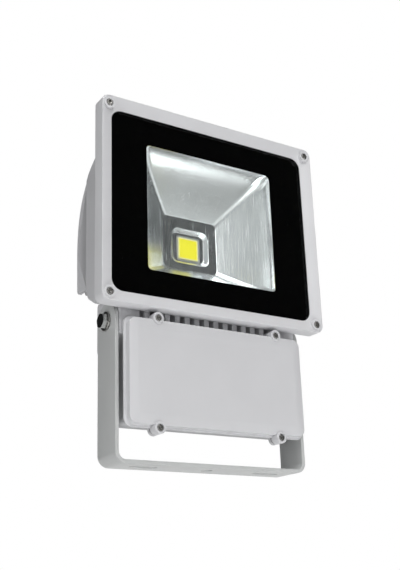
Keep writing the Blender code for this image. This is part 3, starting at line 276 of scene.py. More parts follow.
EAR_EDGE = 0.0006
EAR_FLAT_R = 0.003
EAR_SEAT = 0.0029

# Neck and side cheeks of the driver box
NECK_X = BOX_HIGH.x
NECK_FRONT = 0.0203
NECK_REAR = 0.060
NECK_SLOT = 0.0062
NECK_SLOT_COUNT = 15
NECK_SLOT_SHORT = 0.033
NECK_TRIM = 0.0004
NECK_ROOT = 0.004
NECK_FLOOR = 0.128
NECK_CEILING = 0.136
BOSS_CEILING = 0.148
CHEEK_REAR = 0.071
CHEEK_FRONT_Z = 0.144
CHEEK_REAR_Z = 0.164
CHEEK_REAR_R = 0.014
CHEEK_REAR_DROP = 0.003
CHEEK_TUCK = radians(20)
CHEEK_SIDE_T = 0.0135
CHEEK_SIDE_EDGE = 0.0012

# Cable gland
GLAND_BORE_R = 0.0045
GLAND_NECK_R = 0.0085
GLAND_THREAD_R = 0.008
GLAND_HOLE_R = 0.0083
GLAND_COLLAR_EDGE = 0.0006
GRIP_COUNT = 16
GRIP_DEPTH = 0.0005
GRIP_END = 0.70
GRIP_FADE = 400

# Bracket and tilt bolts
STRIP_LOW, STRIP_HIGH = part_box("bracket")
STRIP_T = 0.004
STRIP_W = STRIP_HIGH.y - STRIP_LOW.y
STRIP_EDGE = 0.0008
BEND_R = 0.012
BASE_SLOT_X = 0.076
BASE_SLOT_L = 0.032
BASE_SLOT_W = 0.010
BASE_HOLE_R = 0.0065
PIVOT_CLEARANCE = 0.0006
BOLT_R = 0.005
BOLT_HEAD_AF = 0.017
BOLT_SPIN = radians(12)
BOLT_HOLE_IN = 0.020
BOLT_HOLE_OUT = 0.006
BOLT_CREASE = 20
BOLT_FLAT_R = 0.94
CHAMFER_START = 0.72
BOLT_TIP_R = 0.8
BOLT_TIP_L = 0.001
WASHER_BORE_EDGE = 0.0002
WASHER_EDGE = 0.0004

# Darkest and lightest tone of a material as shares of its colour
COAT_TONES = (0.97, 1.02)
METAL_TONES = (0.94, 1.03)
MATT_TONES = (0.88, 1.08)

# Floor, backdrop, room and camera
FLOOR_HEIGHT = -1.20
FLOOR_SIZE = 24.0
FLOOR_WHITE = (0.14, 1.0)
FLOOR_FADE = (3.0, 3.9)
BACKDROP_SIZE = 7.0
BACKDROP_PLACE = (3.2, 4.0, FLOOR_HEIGHT + 3.4)
ROOM_BRIGHT = 0.56
ROOM_DARK = 0.01
ROOM_FADE = (0.20, 0.95)
BRIGHT_SIDE = Vector((-0.90, -0.40, 0.05)).normalized()
STUDIO_CENTRE = Vector((0, 0, 0.2))
LENS_LENGTH = 58.57
SENSOR_WIDTH = 36.0
CAMERA_PLACE = (-0.53860, -0.82869, -0.13477)
CAMERA_TURN = (radians(109.1126), radians(1.8466), radians(-32.3798))

# Helper shapes that wait for the next settle()
TOOLS = []


def link(name, data, location=(0, 0, 0), turn=(0, 0, 0)):
    """New object in the scene from a mesh, a lamp or a camera."""
    made = bpy.data.objects.new(name, data)
    bpy.context.scene.collection.objects.link(made)
    made.location = location
    made.rotation_euler = turn
    return made


def tool(mesh, location=(0, 0, 0), turn=(0, 0, 0)):
    """Helper shape for a cut or a join; settle() removes it."""
    made = link(mesh.name, mesh, location, turn)
    TOOLS.append(made)
    return made


def modify(target, shape, operation):
    step = target.modifiers.new(operation.lower(), "BOOLEAN")
    step.operation = operation
    step.solver = "EXACT"
    step.object = shape


def join(target, shape):
    modify(target, shape, "UNION")


def cut(target, shape):
    modify(target, shape, "DIFFERENCE")


def soften_edges(target, width):
    step = target.modifiers.new("soft edges", "BEVEL")
    step.width = width
    step.segments = SOFT_STEPS
    step.limit_method = "ANGLE"
    step.angle_limit = radians(SOFT_ANGLE)
    step.use_clamp_overlap = True
    step.harden_normals = True


def settle(target, crease=CREASE):
    """Bake a piece's modifiers into its mesh, drop the helpers and shade it by angle."""
    graph = bpy.context.evaluated_depsgraph_get()
    mesh = bpy.data.meshes.new_from_object(target.evaluated_get(graph), depsgraph=graph)
    target.modifiers.clear()
    target.data = mesh
    while TOOLS:
        bpy.data.objects.remove(TOOLS.pop(), do_unlink=True)
    shade(mesh, crease)


def shade(mesh, crease=CREASE):
    mesh.shade_smooth()
    mesh.set_sharp_from_angle(angle=radians(crease))
    return mesh


def dress(made, finish, slot, *nodes, body="head"):
    """Give a piece its finish and its body, and hide the nodes that it stands for. The slot is not
    used.
    """
    made.data.materials.clear()
    made.data.materials.append(finish)
    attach(made, body)
    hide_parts(*nodes)


def skin(name, ring_sets, closed=False):
    """Skin one or more runs of equal rings. Open runs get end caps, closed runs meet again."""
    bm = bmesh.new()
    for rings in ring_sets:
        loops = [[bm.verts.new(point) for point in ring] for ring in rings]
        pairs = list(zip(loops, loops[1:]))
        if closed:
            pairs.append((loops[-1], loops[0]))
        count = len(rings[0])
        for low, high in pairs:
            for i in range(count):
                j = (i + 1) % count
                bm.faces.new((low[i], low[j], high[j], high[i]))
        if not closed:
            bm.faces.new(loops[0])
            bm.faces.new(loops[-1])
    bmesh.ops.recalc_face_normals(bm, faces=bm.faces)
    if bm.calc_volume(signed=True) < 0:
        bmesh.ops.reverse_faces(bm, faces=bm.faces)
    mesh = bpy.data.meshes.new(name)
    bm.to_mesh(mesh)
    bm.free()
    return mesh


def rounded_rect(half_x, half_z, radius, y, centre_z=0.0):
    """Ring round a rectangle with round corners, at depth y."""
    points = []
    for turn, sx, sz in ((0, 1, 1), (1, -1, 1), (2, -1, -1), (3, 1, -1)):
        cx = sx * (half_x - radius)
        cz = centre_z + sz * (half_z - radius)
        for i in range(CORNER_STEPS + 1):
            angle = pi / 2 * (turn + i / CORNER_STEPS)
            points.append((cx + radius * cos(angle), y, cz + radius * sin(angle)))
    return points


def fillet(knots, steps=FILLET_STEPS, closed=False):
    """Round the corners of a run of knots; a knot's last value is its corner's rounding."""
    points = [np.array(knot[:-1], float) for knot in knots]
    count = len(knots)
    run = []
    for i, (point, knot) in enumerate(zip(points, knots)):
        reach = knot[-1]
        if not reach or (not closed and i in (0, count - 1)):
            run.append(point)
            continue
        before = points[i - 1] - point
        after = points[(i + 1) % count] - point
        start = point + before * min(reach / np.linalg.norm(before), 0.48)
        end = point + after * min(reach / np.linalg.norm(after), 0.48)
        for j in range(steps + 1):
            t = j / steps
            run.append((1 - t) ** 2 * start + 2 * t * (1 - t) * point + t * t * end)
    return run


def arc(centre, radius, start, end, steps):
    """Points (y, z) on an arc, with angles from +y towards +z."""
    angles = [start + (end - start) * i / steps for i in range(steps + 1)]
    return [(centre[0] + radius * cos(a), centre[1] + radius * sin(a)) for a in angles]


def bezier(start, handle_a, handle_b, end, steps):
    """Points (y, z) on a curve with two handles."""
    knots = [Vector((y, z, 0)) for y, z in (start, handle_a, handle_b, end)]
    return [(p.x, p.y) for p in interpolate_bezier(*knots, steps + 1)]


def prism_x(outline, low, high):
    """Rings of a (y, z) outline drawn out along x."""
    return [[(x, y, z) for y, z in outline] for x in (low, high)]


def rectangle(low_y, high_y, low_z, high_z):
    """Outline (y, z) of an upright rectangle."""
    return [(low_y, low_z), (low_y, high_z), (high_y, high_z), (high_y, low_z)]


def slab(name, outline, low, high):
    """Helper of the lamp head with a (y, z) outline that runs along x from low to high."""
    return tool(skin(name, [prism_x(outline, low, high)]), FACE)


def piece(name, rings, closed=False, location=FACE, turn=(0, 0, 0)):
    """Visible piece that is skinned from one run of rings and needs no cut or join."""
    return link(name, shade(skin(name, [rings], closed)), location, turn)


def disc_ring(radius, height, steps=ROUND_STEPS):
    angles = [2 * pi * i / steps for i in range(steps)]
    return [(radius * cos(a), radius * sin(a), height) for a in angles]


def hex_ring(across_flats, height, steps=ROUND_STEPS):
    """Points on a hexagon, equally spaced by angle, so that it can be skinned to a circle."""
    points = []
    for i in range(steps):
        angle = 2 * pi * i / steps
        from_flat = (angle + pi / 6) % (pi / 3) - pi / 6
        radius = across_flats / 2 / cos(from_flat)
        points.append((radius * cos(angle), radius * sin(angle), height))
    return points


def turned(name, profile):
    """Round shape along z from a run of (radius, height, rounding) knots."""
    return skin(name, [[disc_ring(radius, height) for radius, height in fillet(profile)]])


def facing(mesh, x, z):
    """Helper of the lamp head whose own z axis points to the front, at (x, z) on its face."""
    return tool(mesh, FACE + Vector((x, 0, z)), (pi / 2, 0, 0))


def rod_y(name, radius, low, high, x, z, steps=ROUND_STEPS):
    """Round helper of the lamp head that runs in depth from low to high."""
    rings = [disc_ring(radius, -high, steps), disc_ring(radius, -low, steps)]
    return facing(skin(name, [rings]), x, z)


def sink_y(name, radius, front, seat, x, z):
    """Counterbore helper that flares a little where it meets the surface at depth front."""
    flared = radius + BORE_FLARE
    rings = [
        disc_ring(radius, -seat),
        disc_ring(radius, -front - BORE_FLARE),
        disc_ring(flared, -front),
        disc_ring(flared, -front + EMBED * 6),
    ]
    return facing(skin(name, [rings]), x, z)


def rod_x(name, radius, low, high, y):
    """Round helper that runs along x from low to high at the height of the tilt axis."""
    mesh = skin(name, [[disc_ring(radius, low), disc_ring(radius, high)]])
    return tool(mesh, (0, y, PIVOT.z), (0, pi / 2, 0))


def nodes_like(prefix):
    """Names of the numbered nodes that start with prefix, in order."""
    return sorted(name for name in frame["nodes"] if name.startswith(prefix))


# Materials


def fill(node, values):
    for name, value in values.items():
        node.inputs[name].default_value = value


def blank(name, values):
    """New material, its tree and its shader with the given input values."""
    made = bpy.data.materials.new(name)
    made.use_nodes = True
    shader = made.node_tree.nodes["Principled BSDF"]
    fill(shader, values)
    return made, made.node_tree, shader


def add(tree, kind, values, links):
    """New shader node with input values and links, both given by the input's name."""
    made = tree.nodes.new(kind)
    fill(made, values)
    for name, source in links.items():
        tree.links.new(source, made.inputs[name])
    return made


def object_place(tree, stretch=(1, 1, 1)):
    """Object coordinates, stretched along each axis."""
    source = tree.nodes.new("ShaderNodeTexCoord").outputs["Object"]
    made = add(tree, "ShaderNodeMapping", {"Scale": stretch}, {"Vector": source})
    return made.outputs["Vector"]


def noise(tree, where, scale, detail):
    values = {"Scale": scale, "Detail": detail}
    return add(tree, "ShaderNodeTexNoise", values, {"Vector": where}).outputs["Fac"]


def spread(tree, source, low, high, start=0.3, end=0.7):
    """Map start..end, by default the middle range of a noise, to low..high."""
    values = {"From Min": start, "From Max": end, "To Min": low, "To Max": high}
    return add(tree, "ShaderNodeMapRange", values, {"Value": source}).outputs["Result"]


def two_tone(tree, source, dark, light):
    """Colour between dark and light by a value from 0 to 1."""
    made = tree.nodes.new("ShaderNodeMix")
    made.data_type = "RGBA"
    colours = [socket for socket in made.inputs if socket.type == "RGBA"]
    colours[0].default_value = (*dark, 1)
    colours[1].default_value = (*light, 1)
    tree.links.new(source, made.inputs["Factor"])
    return [socket for socket in made.outputs if socket.type == "RGBA"][0]


def bump(tree, shader, height, strength, distance):
    values = {"Strength": strength, "Distance": distance}
    made = add(tree, "ShaderNodeBump", values, {"Height": height})
    tree.links.new(made.outputs["Normal"], shader.inputs["Normal"])


def combine(tree, operation, first, second):
    """Result of two values, kept between 0 and 1."""
    made = add(tree, "ShaderNodeMath", {}, {0: first, 1: second})
    made.operation = operation
    made.use_clamp = True
    return made.outputs[0]


def lead_out(tree, share, first, second, output):
    """Mix two shaders by a share and lead the result to the tree's output."""
    made = tree.nodes.new("ShaderNodeMixShader")
    tree.links.new(share, made.inputs[0])
    tree.links.new(first.outputs[0], made.inputs[1])
    tree.links.new(second.outputs[0], made.inputs[2])
    tree.links.new(made.outputs[0], output.inputs["Surface"])


def tinted(colour, factor):
    return tuple(min(1.0, value * factor) for value in colour)


def texture(tree, shader, colour, tones, drift, grain, rough):
    """Vary the tone with one noise and the gloss with another."""
    dark, light = (tinted(colour, tone) for tone in tones)
    tone = two_tone(tree, spread(tree, drift, 0, 1), dark, light)
    tree.links.new(tone, shader.inputs["Base Color"])
    tree.links.new(spread(tree, grain, *rough), shader.inputs["Roughness"])


def coated(name, colour, rough=(0.42, 0.52), grain=700):
    """Powder coat: slow drift of tone, fine orange peel and a speckle in the gloss."""
    made, tree, shader = blank(name, {"Specular IOR Level": 0.4})
    where = object_place(tree)
    peel = noise(tree, where, grain, 2)
    texture(tree, shader, colour, COAT_TONES, noise(tree, where, 16, 3), peel, rough)
    bump(tree, shader, peel, 0.35, 0.00006)
    return made


def metal(name, colour, rough, stretch=(1, 1, 1), grain=400, relief=0.00002, strength=0.2):
    """Bare metal with a grain that can run along one axis."""
    made, tree, shader = blank(name, {"Metallic": 1.0})
    lines = noise(tree, object_place(tree, stretch), grain, 3)
    texture(tree, shader, colour, METAL_TONES, lines, lines, rough)
    bump(tree, shader, lines, strength, relief)
    return made


def moulded(name, colour, rough, grain=500, relief=0.00005, shine=0.5):
    """Rubber, plastic or print: nearly even colour with a fine matt grain."""
    made, tree, shader = blank(name, {"Specular IOR Level": shine})
    fine = noise(tree, object_place(tree), grain, 3)
    texture(tree, shader, colour, MATT_TONES, fine, fine, rough)
    bump(tree, shader, fine, 0.3, relief)
    return made


def clear_glass(name):
    """Toughened glass that lets the lamps' light through to what lies behind it."""
    tint = (0.96, 0.985, 0.975, 1)
    values = {"Base Color": tint, "Transmission Weight": 1.0, "IOR": 1.45}
    made, tree, shader = blank(name, values)
    smear = noise(tree, object_place(tree), 30, 4)
    tree.links.new(spread(tree, smear, 0.0, 0.02), shader.inputs["Roughness"])
    bump(tree, shader, smear, 0.02, 0.0001)
    clear = tree.nodes.new("ShaderNodeBsdfTransparent")
    shadow = tree.nodes.new("ShaderNodeLightPath").outputs["Is Shadow Ray"]
    lead_out(tree, shadow, shader, clear, tree.nodes["Material Output"])
    return made


PAINT = coated("cast_paint", (0.64, 0.64, 0.655))
# Painted light: the front frame gets a lighter copy of the cast paint, so that its border renders
# brighter than the lid
LIGHTENED_FRONT_PAINT = coated("front_paint", (0.69, 0.69, 0.705))
STRIP_PAINT = coated("bracket_paint", (0.54, 0.55, 0.545), (0.34, 0.42), grain=500)
STEEL = metal("steel", (0.33, 0.325, 0.31), (0.24, 0.38))
CHROME = metal("chrome", (0.86, 0.87, 0.86), (0.08, 0.16), grain=200)
ALUMINIUM = metal("aluminium", (0.72, 0.73, 0.74), (0.35, 0.5))
MIRROR = metal(
    "reflector_metal",
    (0.86, 0.875, 0.885),
    (0.20, 0.28),
    stretch=(14, 14, 0.6),
    grain=60,
    relief=0.00001,
    strength=0.08,
)
PRINT = moulded(
    "black_print", (0.001, 0.001, 0.001), (0.4, 0.5), grain=300, relief=0.00001, shine=0.0
)
RUBBER = moulded("rubber", (0.03, 0.03, 0.03), (0.65, 0.85))
NYLON = moulded("nylon", (0.035, 0.035, 0.037), (0.40, 0.55), grain=350)
CABLE = moulded("cable", (0.55, 0.05, 0.04), (0.45, 0.6))
PHOSPHOR = moulded("phosphor", (0.94, 0.85, 0.035), (0.45, 0.6), grain=900, relief=0.00006)
DAM = moulded("dam", (0.88, 0.85, 0.42), (0.35, 0.5), grain=600)
GLASS = clear_glass("glass")


# Front frame and its screws


def front_bezel():
    """Sloping border with its pocket for the glass, the skirt behind it and four screw bosses."""
    half_x = FACE_W / 2
    half_z = FACE_H / 2
    lip_y = BORDER_EDGE_Y + BORDER_DROP
    pocket = BORDER - (GLASS_HIGH.x - (half_x - BORDER)) - POCKET_CLEARANCE
    pocket_rear = PRINT_HIGH.y + POCKET_DEPTH
    groove = pocket - POCKET_WALL
    pocket_r = GLASS_R + POCKET_CLEARANCE
    knots = [
        (0, FRAME_DEPTH, FACE_CORNER_R, FRAME_REAR_EDGE),
        (0, BORDER_EDGE_Y, FACE_CORNER_R, EDGE_BEVEL),
        (BORDER, lip_y, OPENING_R, OPENING_EDGE),
        (BORDER, GLASS_Y - GAP, OPENING_R, 0),
        (pocket, GLASS_Y - GAP, pocket_r, 0),
        (pocket, pocket_rear, pocket_r, 0),
        (groove, pocket_rear, pocket_r + POCKET_WALL, 0),
        (groove, GROOVE_WEB, pocket_r + POCKET_WALL, 0),
        (SKIRT_T, GROOVE_WEB, FACE_CORNER_R - SKIRT_T, 0),
        (SKIRT_T, FRAME_DEPTH, FACE_CORNER_R - SKIRT_T, 0),
    ]
    rings = [
        rounded_rect(half_x - inset, half_z - inset, corner, y)
        for inset, y, corner in fillet(knots)
    ]
    bezel = link("front_bezel", skin("front_bezel", [rings], True), FACE)
    for name in nodes_like("frame_screw"):
        low, high = face_box(name)
        spot = face_centre(name)
        bore = (high.x - low.x) / 2 + BORE_CLEARANCE
        join(bezel, rod_y("frame_boss", FRAME_BOSS_R, BOSS_FRONT, pocket_rear, *spot))
        cut(bezel, sink_y("frame_sink", bore, FRAME_SINK_Y, FRAME_SEAT_Y, *spot))
        cut(bezel, rod_y("frame_hole", FRAME_HOLE_R, 0, FRAME_DEPTH, *spot))
    settle(bezel)
    dress(bezel, LIGHTENED_FRONT_PAINT, "cast_paint", "front_frame")


def socket_screw(name, node, head, shank):
    """Screw with a domed round head and a hexagon socket, facing -Y."""
    low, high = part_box(node)
    radius = (high.x - low.x) / 2
    length = high.y - low.y - head
    tip_r, tip_l = (shank * share for share in SHANK_TIP)
    profile = fillet([
        (tip_r, -length, 0),
        (shank, -length + tip_l, 0),
        (shank, 0, 0),
        (radius, 0, SCREW_EDGE),
        (radius, head * DOME[1], SCREW_EDGE),
        (radius * DOME[0], head, SCREW_EDGE),
        (radius * SOCKET_RIM_R, head, 0),
    ])
    rings = [disc_ring(r, h, SCREW_STEPS) for r, h in profile]
    rings += [hex_ring(radius * SOCKET_W, head * h, SCREW_STEPS) for h in SOCKET_FROM_TO]
    rings.append(disc_ring(radius * SOCKET_TIP[0], head * SOCKET_TIP[1], SCREW_STEPS))
    spot = ((low.x + high.x) / 2, low.y + head, (low.z + high.z) / 2)
    dress(piece(name, rings, False, spot, (pi / 2, 0, 0)), STEEL, "steel", node)


def screws():
    for number, node in enumerate(nodes_like("frame_screw"), 1):
        socket_screw(f"bezel_screw_{number}", node, *FRAME_SCREW)
    for number, node in enumerate(nodes_like("cover_screw"), 1):
        socket_screw(f"lid_screw_{number}", node, *LID_SCREW)


# Glass, print, reflector and light source


def window_glass():
    """Clear pane, with a softly rounded edge."""
    knots = [
        (GLASS_MARGIN, GLASS_LOW.y, 0),
        (0, GLASS_LOW.y, GLASS_EDGE),
        (0, GLASS_HIGH.y, GLASS_EDGE),
        (GLASS_MARGIN, GLASS_HIGH.y, 0),
    ]
    rings = [
        rounded_rect(GLASS_HIGH.x - inset, GLASS_HIGH.z - inset, GLASS_R, y)
        for inset, y in fillet(knots)
    ]
    dress(piece("window_glass", rings), GLASS, "glass", "glass_pane")


def black_mask():
    """Print on the back of the glass, open in the middle."""
    inner = (WINDOW_W / 2, WINDOW_H / 2, WINDOW_R)
    outer = (PRINT_HIGH.x, PRINT_HIGH.z, GLASS_R)
    rings = [
        rounded_rect(*outer, PRINT_LOW.y),
        rounded_rect(*outer, PRINT_HIGH.y),
        rounded_rect(*inner, PRINT_HIGH.y),
        rounded_rect(*inner, PRINT_LOW.y),
    ]
    dress(piece("black_mask", rings, True), PRINT, "black_print", "glass_border")


def bowl_rings(grow, push):
    """Rings of the reflector's walls from the mouth to the base, then of its well and hole."""
    mouth_x = WINDOW_W / 2 + MOUTH_MARGIN
    mouth_z = WINDOW_H / 2 + MOUTH_MARGIN
    depth = BASE_Y - MOUTH_Y
    knots = []
    for i in range(WALL_STEPS + 1):
        share = i / WALL_STEPS
        blend = share ** WALL_POWER
        knots.append((
            mouth_x + (BASE_W / 2 - mouth_x) * blend,
            mouth_z + (BASE_H / 2 - mouth_z) * blend,
            MOUTH_R + (BASE_R - MOUTH_R) * blend,
            MOUTH_Y + depth * share,
            -BASE_DROP * blend,
            BASE_EDGE if i == WALL_STEPS else 0,
        ))
    centre = -BASE_DROP - WELL_DROP
    floor = BASE_Y + WELL_DEPTH
    middle = (EMITTER_LOW.z + EMITTER_HIGH.z) / 2
    well_x = WELL_W / 2
    well_z = WELL_H / 2
    hole_x = EMITTER_HIGH.x + WELL_HOLE_MARGIN
    hole_z = (EMITTER_HIGH.z - EMITTER_LOW.z) / 2 + WELL_HOLE_MARGIN
    slope = WELL_SLOPE
    knots += [
        (well_x, well_z, WELL_R, BASE_Y, centre, WELL_RIM_EDGE),
        (well_x - slope, well_z - slope, WELL_R - slope / 2, floor, centre, WELL_FLOOR_EDGE),
        (hole_x, hole_z, WELL_R / 3, floor, middle, 0),
    ]
    return [
        rounded_rect(x + grow, z + grow, corner + grow, y + push, height)
        for x, z, corner, y, height in fillet(knots)
    ]


def reflector_bowl():
    """Thin pressed bowl with a rim that its screws go through."""
    rim_x = BOWL_HIGH.x
    rim_z = BOWL_HIGH.z
    inside = bowl_rings(0, 0)
    outside = bowl_rings(REFLECTOR_T, REFLECTOR_T)
    rings = inside + outside[::-1]
    rings.append(rounded_rect(rim_x, rim_z, MOUTH_R, MOUTH_Y + REFLECTOR_T))
    rings.append(rounded_rect(rim_x, rim_z, MOUTH_R, MOUTH_Y))
    bowl = link("reflector_bowl", skin("reflector_bowl", [rings], True), FACE)
    rear = MOUTH_Y + EMBED * 2
    for name in nodes_like("reflector_screw"):
        spot = face_centre(name)
        cut(bowl, rod_y("bowl_hole", REFLECTOR_HOLE_R, 0, rear, *spot, HOLE_STEPS))
    settle(bowl)
    dress(bowl, MIRROR, "reflector_metal", "reflector")


def light_source():
    """Yellow field inside a low pale dam."""
    half_x = EMITTER_HIGH.x
    half_z = (EMITTER_HIGH.z - EMITTER_LOW.z) / 2
    middle = (EMITTER_HIGH.z + EMITTER_LOW.z) / 2
    rear = EMITTER_HIGH.y
    crest = EMITTER_LOW.y - DAM_PROUD
    field = EMITTER_LOW.y + FIELD_DROP
    dam = fillet([
        (0, rear, 0),
        (0, crest, DAM_EDGE),
        (DAM_W, crest, DAM_EDGE),
        (DAM_W, field + FIELD_LAP, 0),
        (DAM_W, rear, 0),
    ])
    rings = [
        rounded_rect(half_x - inset, half_z - inset, DAM_CORNER_R - inset / 2, y, middle)
        for inset, y in dam
    ]
    dress(piece("emitter_dam", rings, True), DAM, "phosphor", "led_emitter")
    inset = DAM_W - FIELD_LAP
    field_rings = [
        rounded_rect(half_x - inset, half_z - inset, FIELD_CORNER_R, y, middle)
        for y in (field, rear - FIELD_LAP)
    ]
    dress(piece("emitter_face", field_rings), PHOSPHOR, "phosphor", "led_emitter")


# Heatsink casting


def under_z(y):
    """Height of the casting's sloping underside at depth y."""
    share = (y - FRAME_DEPTH) / (UNDER_DEPTH - FRAME_DEPTH)
    return -UNDER_FRONT + (UNDER_FRONT - UNDER_REAR) * share


def crown_curve(offset=0.0):
    """The casting's curved back in (y, z), from its top behind the frame to the fins' crest."""
    start = (FRAME_DEPTH, CROWN_TOP)
    end = (FIN_BACK_Y, -FIN_CREST)
    handle_a = (
        start[0] + CROWN_HANDLE_TOP * cos(CROWN_ANGLE),
        start[1] - CROWN_HANDLE_TOP * sin(CROWN_ANGLE),
    )
    handle_b = (end[0], end[1] + CROWN_HANDLE_BACK)
    points = bezier(start, handle_a, handle_b, end, CROWN_STEPS)
    moved = []
    for i, point in enumerate(points):
        before = Vector(points[max(i - 1, 0)])
        after = Vector(points[min(i + 1, CROWN_STEPS)])
        along = (after - before).normalized()
        moved.append((point[0] - along.y * offset, point[1] + along.x * offset))
    return moved


def body_outline():
    """Full side outline of the casting with its fins, from the frame's rear right round."""
    foot_centre = (FIN_BACK_Y - FIN_FOOT_R - FIN_FOOT_IN, -FIN_FOOT + FIN_FOOT_R)
    start = FRAME_DEPTH - EMBED
    outline = [(start, under_z(start)), (start, CROWN_TOP)]
    outline += crown_curve()
    outline += arc(foot_centre, FIN_FOOT_R, 0, -pi / 2, FOOT_STEPS)
    outline += [
        (SIDE_BACK_Y, -FIN_FOOT),
        (SIDE_BACK_Y - UNDER_CORNER_IN, -FIN_FOOT - UNDER_CORNER_DROP),
        (UNDER_DEPTH, -UNDER_REAR),
    ]
    return outline


def cheek_outline():
    """Side wall of the casting: the crown, a straight back and a recessed underside."""
    crown = [p for p in crown_curve(CHEEK_PROUD) if p[0] < SIDE_BACK_Y - CHEEK_TOP_IN]
    start = FRAME_DEPTH - EMBED
    top = crown[-1][1] - (SIDE_BACK_Y - crown[-1][0]) * CHEEK_FALL
    outline = [(start, under_z(start) + CHEEK_PROUD), (start, CROWN_TOP + CHEEK_PROUD)]
    outline += crown
    outline += [
        (SIDE_BACK_Y, top),
        (SIDE_BACK_Y, -FIN_FOOT + CHEEK_PROUD),
        (SIDE_BACK_Y - CHEEK_CORNER_IN, -FIN_FOOT - CHEEK_CORNER_DROP),
        (UNDER_DEPTH, -UNDER_REAR + CHEEK_PROUD),
    ]
    return outline


def slot_outline():
    """What a slot between two fins removes: a floor that follows the back, open outwards."""
    out_y = FIN_BACK_Y + SLOT_REACH
    out_top = CROWN_TOP + SLOT_REACH
    below = -UNDER_FRONT - SLOT_REACH
    start = (FRAME_DEPTH - SLOT_TOP_IN, CROWN_TOP - SLOT_TOP_DROP)
    handle_b = (SLOT_Y, SLOT_HANDLE_BACK)
    floor = bezier(start, SLOT_HANDLE_TOP, handle_b, (SLOT_Y, SLOT_CURVE_END), SLOT_STEPS)
    return floor + [(SLOT_Y, below), (out_y, below), (out_y, out_top), (start[0], out_top)]


def cavity_outline():
    """Hollow inside the casting, which holds the reflector and narrows towards its floor."""
    front = PRINT_HIGH.y + CAVITY_FRONT
    sill = -GLASS_HIGH.z + CAVITY_SILL
    return [
        (front, sill),
        (front, FACE_H / 2 - BORDER - CAVITY_HEAD),
        CAVITY_KNEE,
        (FLOOR_Y, CAVITY_FLOOR_TOP),
        (FLOOR_Y, under_z(FLOOR_Y) + BODY_WALL),
        (CAVITY_UNDER_Y, under_z(CAVITY_UNDER_Y) + BODY_WALL),
        (CAVITY_STEP_Y, sill),
    ]


def heatsink_casting():
    """Flange behind the frame, hollow body with its side cheeks, and the slots between the fins."""
    inset = SKIRT_T + GAP
    flange_y = face_box("heatsink")[0].y
    flange = [
        rounded_rect(FACE_W / 2 - inset, FACE_H / 2 - inset, FACE_CORNER_R - inset, y)
        for y in (flange_y, FRAME_DEPTH)
    ]
    sink = link("heatsink_casting", skin("heatsink_casting", [flange]), FACE)
    half = BODY_W / 2
    join(sink, slab("sink_body", body_outline(), -half, half))
    for side in (-1, 1):
        ends = sorted((side * (half - CHEEK_T + CHEEK_OUT), side * (half + CHEEK_OUT)))
        cheek = slab("sink_cheek", cheek_outline(), *ends)
        soften_edges(cheek, CHEEK_EDGE)
        join(sink, cheek)
    front = flange_y + EMBED
    rear = flange_y + SINK_BOSS_H
    for name in nodes_like("frame_screw"):
        join(sink, rod_y("sink_boss", SINK_BOSS_R, front, rear, *face_centre(name)))
    inner = half - CAVITY_SIDE
    cut(sink, slab("sink_cavity", cavity_outline(), -inner, inner))
    slots = []
    for i in range(FIN_COUNT):
        x = (i - (FIN_COUNT - 1) / 2) * FIN_PITCH
        slots.append(prism_x(slot_outline(), x - FIN_SLOT / 2, x + FIN_SLOT / 2))
    cut(sink, tool(skin("sink_slots", slots), FACE))
    settle(sink)
    dress(sink, PAINT, "cast_paint", "heatsink")


# Driver box, its lid and the cable inlet


def ear_spots():
    """Centres (x, z) of the ears that take the lid's screws."""
    return [face_centre(name) for name in nodes_like("cover_screw")]


def lid_ring(side, bottom, top, y, radius):
    """Ring inside the lid's outline with its own insets at the sides, the bottom and the top."""
    low = -LID_BOTTOM + bottom
    high = -LID_TOP - top
    return rounded_rect(LID_W / 2 - side, (high - low) / 2, radius, y, (high + low) / 2)


def ledge(grow):
    """Insets of the lid's ledge at the side, the bottom and the top, each grown alike."""
    return [inset + grow for inset in LID_LEDGE]


def driver_lid():
    """Lid like a tray: narrow flange, straight side, rounded edge, gentle slope and flat panel."""
    slope = LID_PANEL_SLOPE
    radius = LID_CORNER_R
    corner = LID_PANEL_R
    rear = LID_HIGH.y
    rim_y = LID_PANEL_Y + LID_RIM_DROP
    outer = fillet([
        (0, 0, 0, rear, radius, 0),
        (0, 0, 0, LID_FLANGE_Y, radius, LID_FLANGE_EDGE),
        (*ledge(0), LID_FLANGE_Y, radius, LID_FOOT_EDGE),
        (*ledge(0), rim_y, radius, LID_RIM_EDGE),
        (*ledge(slope), LID_PANEL_Y, corner, LID_SLOPE_EDGE),
        (*ledge(slope * 2), LID_PANEL_Y, corner, 0),
    ])
    deep = LID_PANEL_Y + LID_WALL
    inner = [
        (*ledge(slope + LID_WALL), deep, corner),
        (*ledge(LID_WALL), deep + LID_RIM_DROP, corner),
        (*ledge(LID_WALL), rear, corner),
    ]
    rings = [lid_ring(*knot) for knot in inner] + [lid_ring(*knot) for knot in outer]
    lid = link("driver_lid", skin("driver_lid", [rings]), FACE)
    low, high = face_box("cover_screw_1")
    bore = (high.x - low.x) / 2 + BORE_CLEARANCE
    profile = [(EAR_R, -rear, 0), (EAR_R, -EAR_Y, EAR_EDGE), (EAR_FLAT_R, -EAR_Y, 0)]
    for spot in ear_spots():
        join(lid, facing(turned("lid_ear", profile), *spot))
    for spot in ear_spots():
        cut(lid, sink_y("lid_sink", bore, EAR_Y, EAR_Y + EAR_SEAT, *spot))
    settle(lid)
    dress(lid, PAINT, "cast_paint", "driver_cover")


def neck_outline():
    """Bridge from the box up to the casting's sloping underside."""
    root = -NECK_CEILING - NECK_ROOT
    return [
        (NECK_FRONT, root),
        (NECK_FRONT, under_z(NECK_FRONT) - GAP),
        (NECK_REAR, under_z(NECK_REAR) - GAP),
        (NECK_REAR, root),
    ]


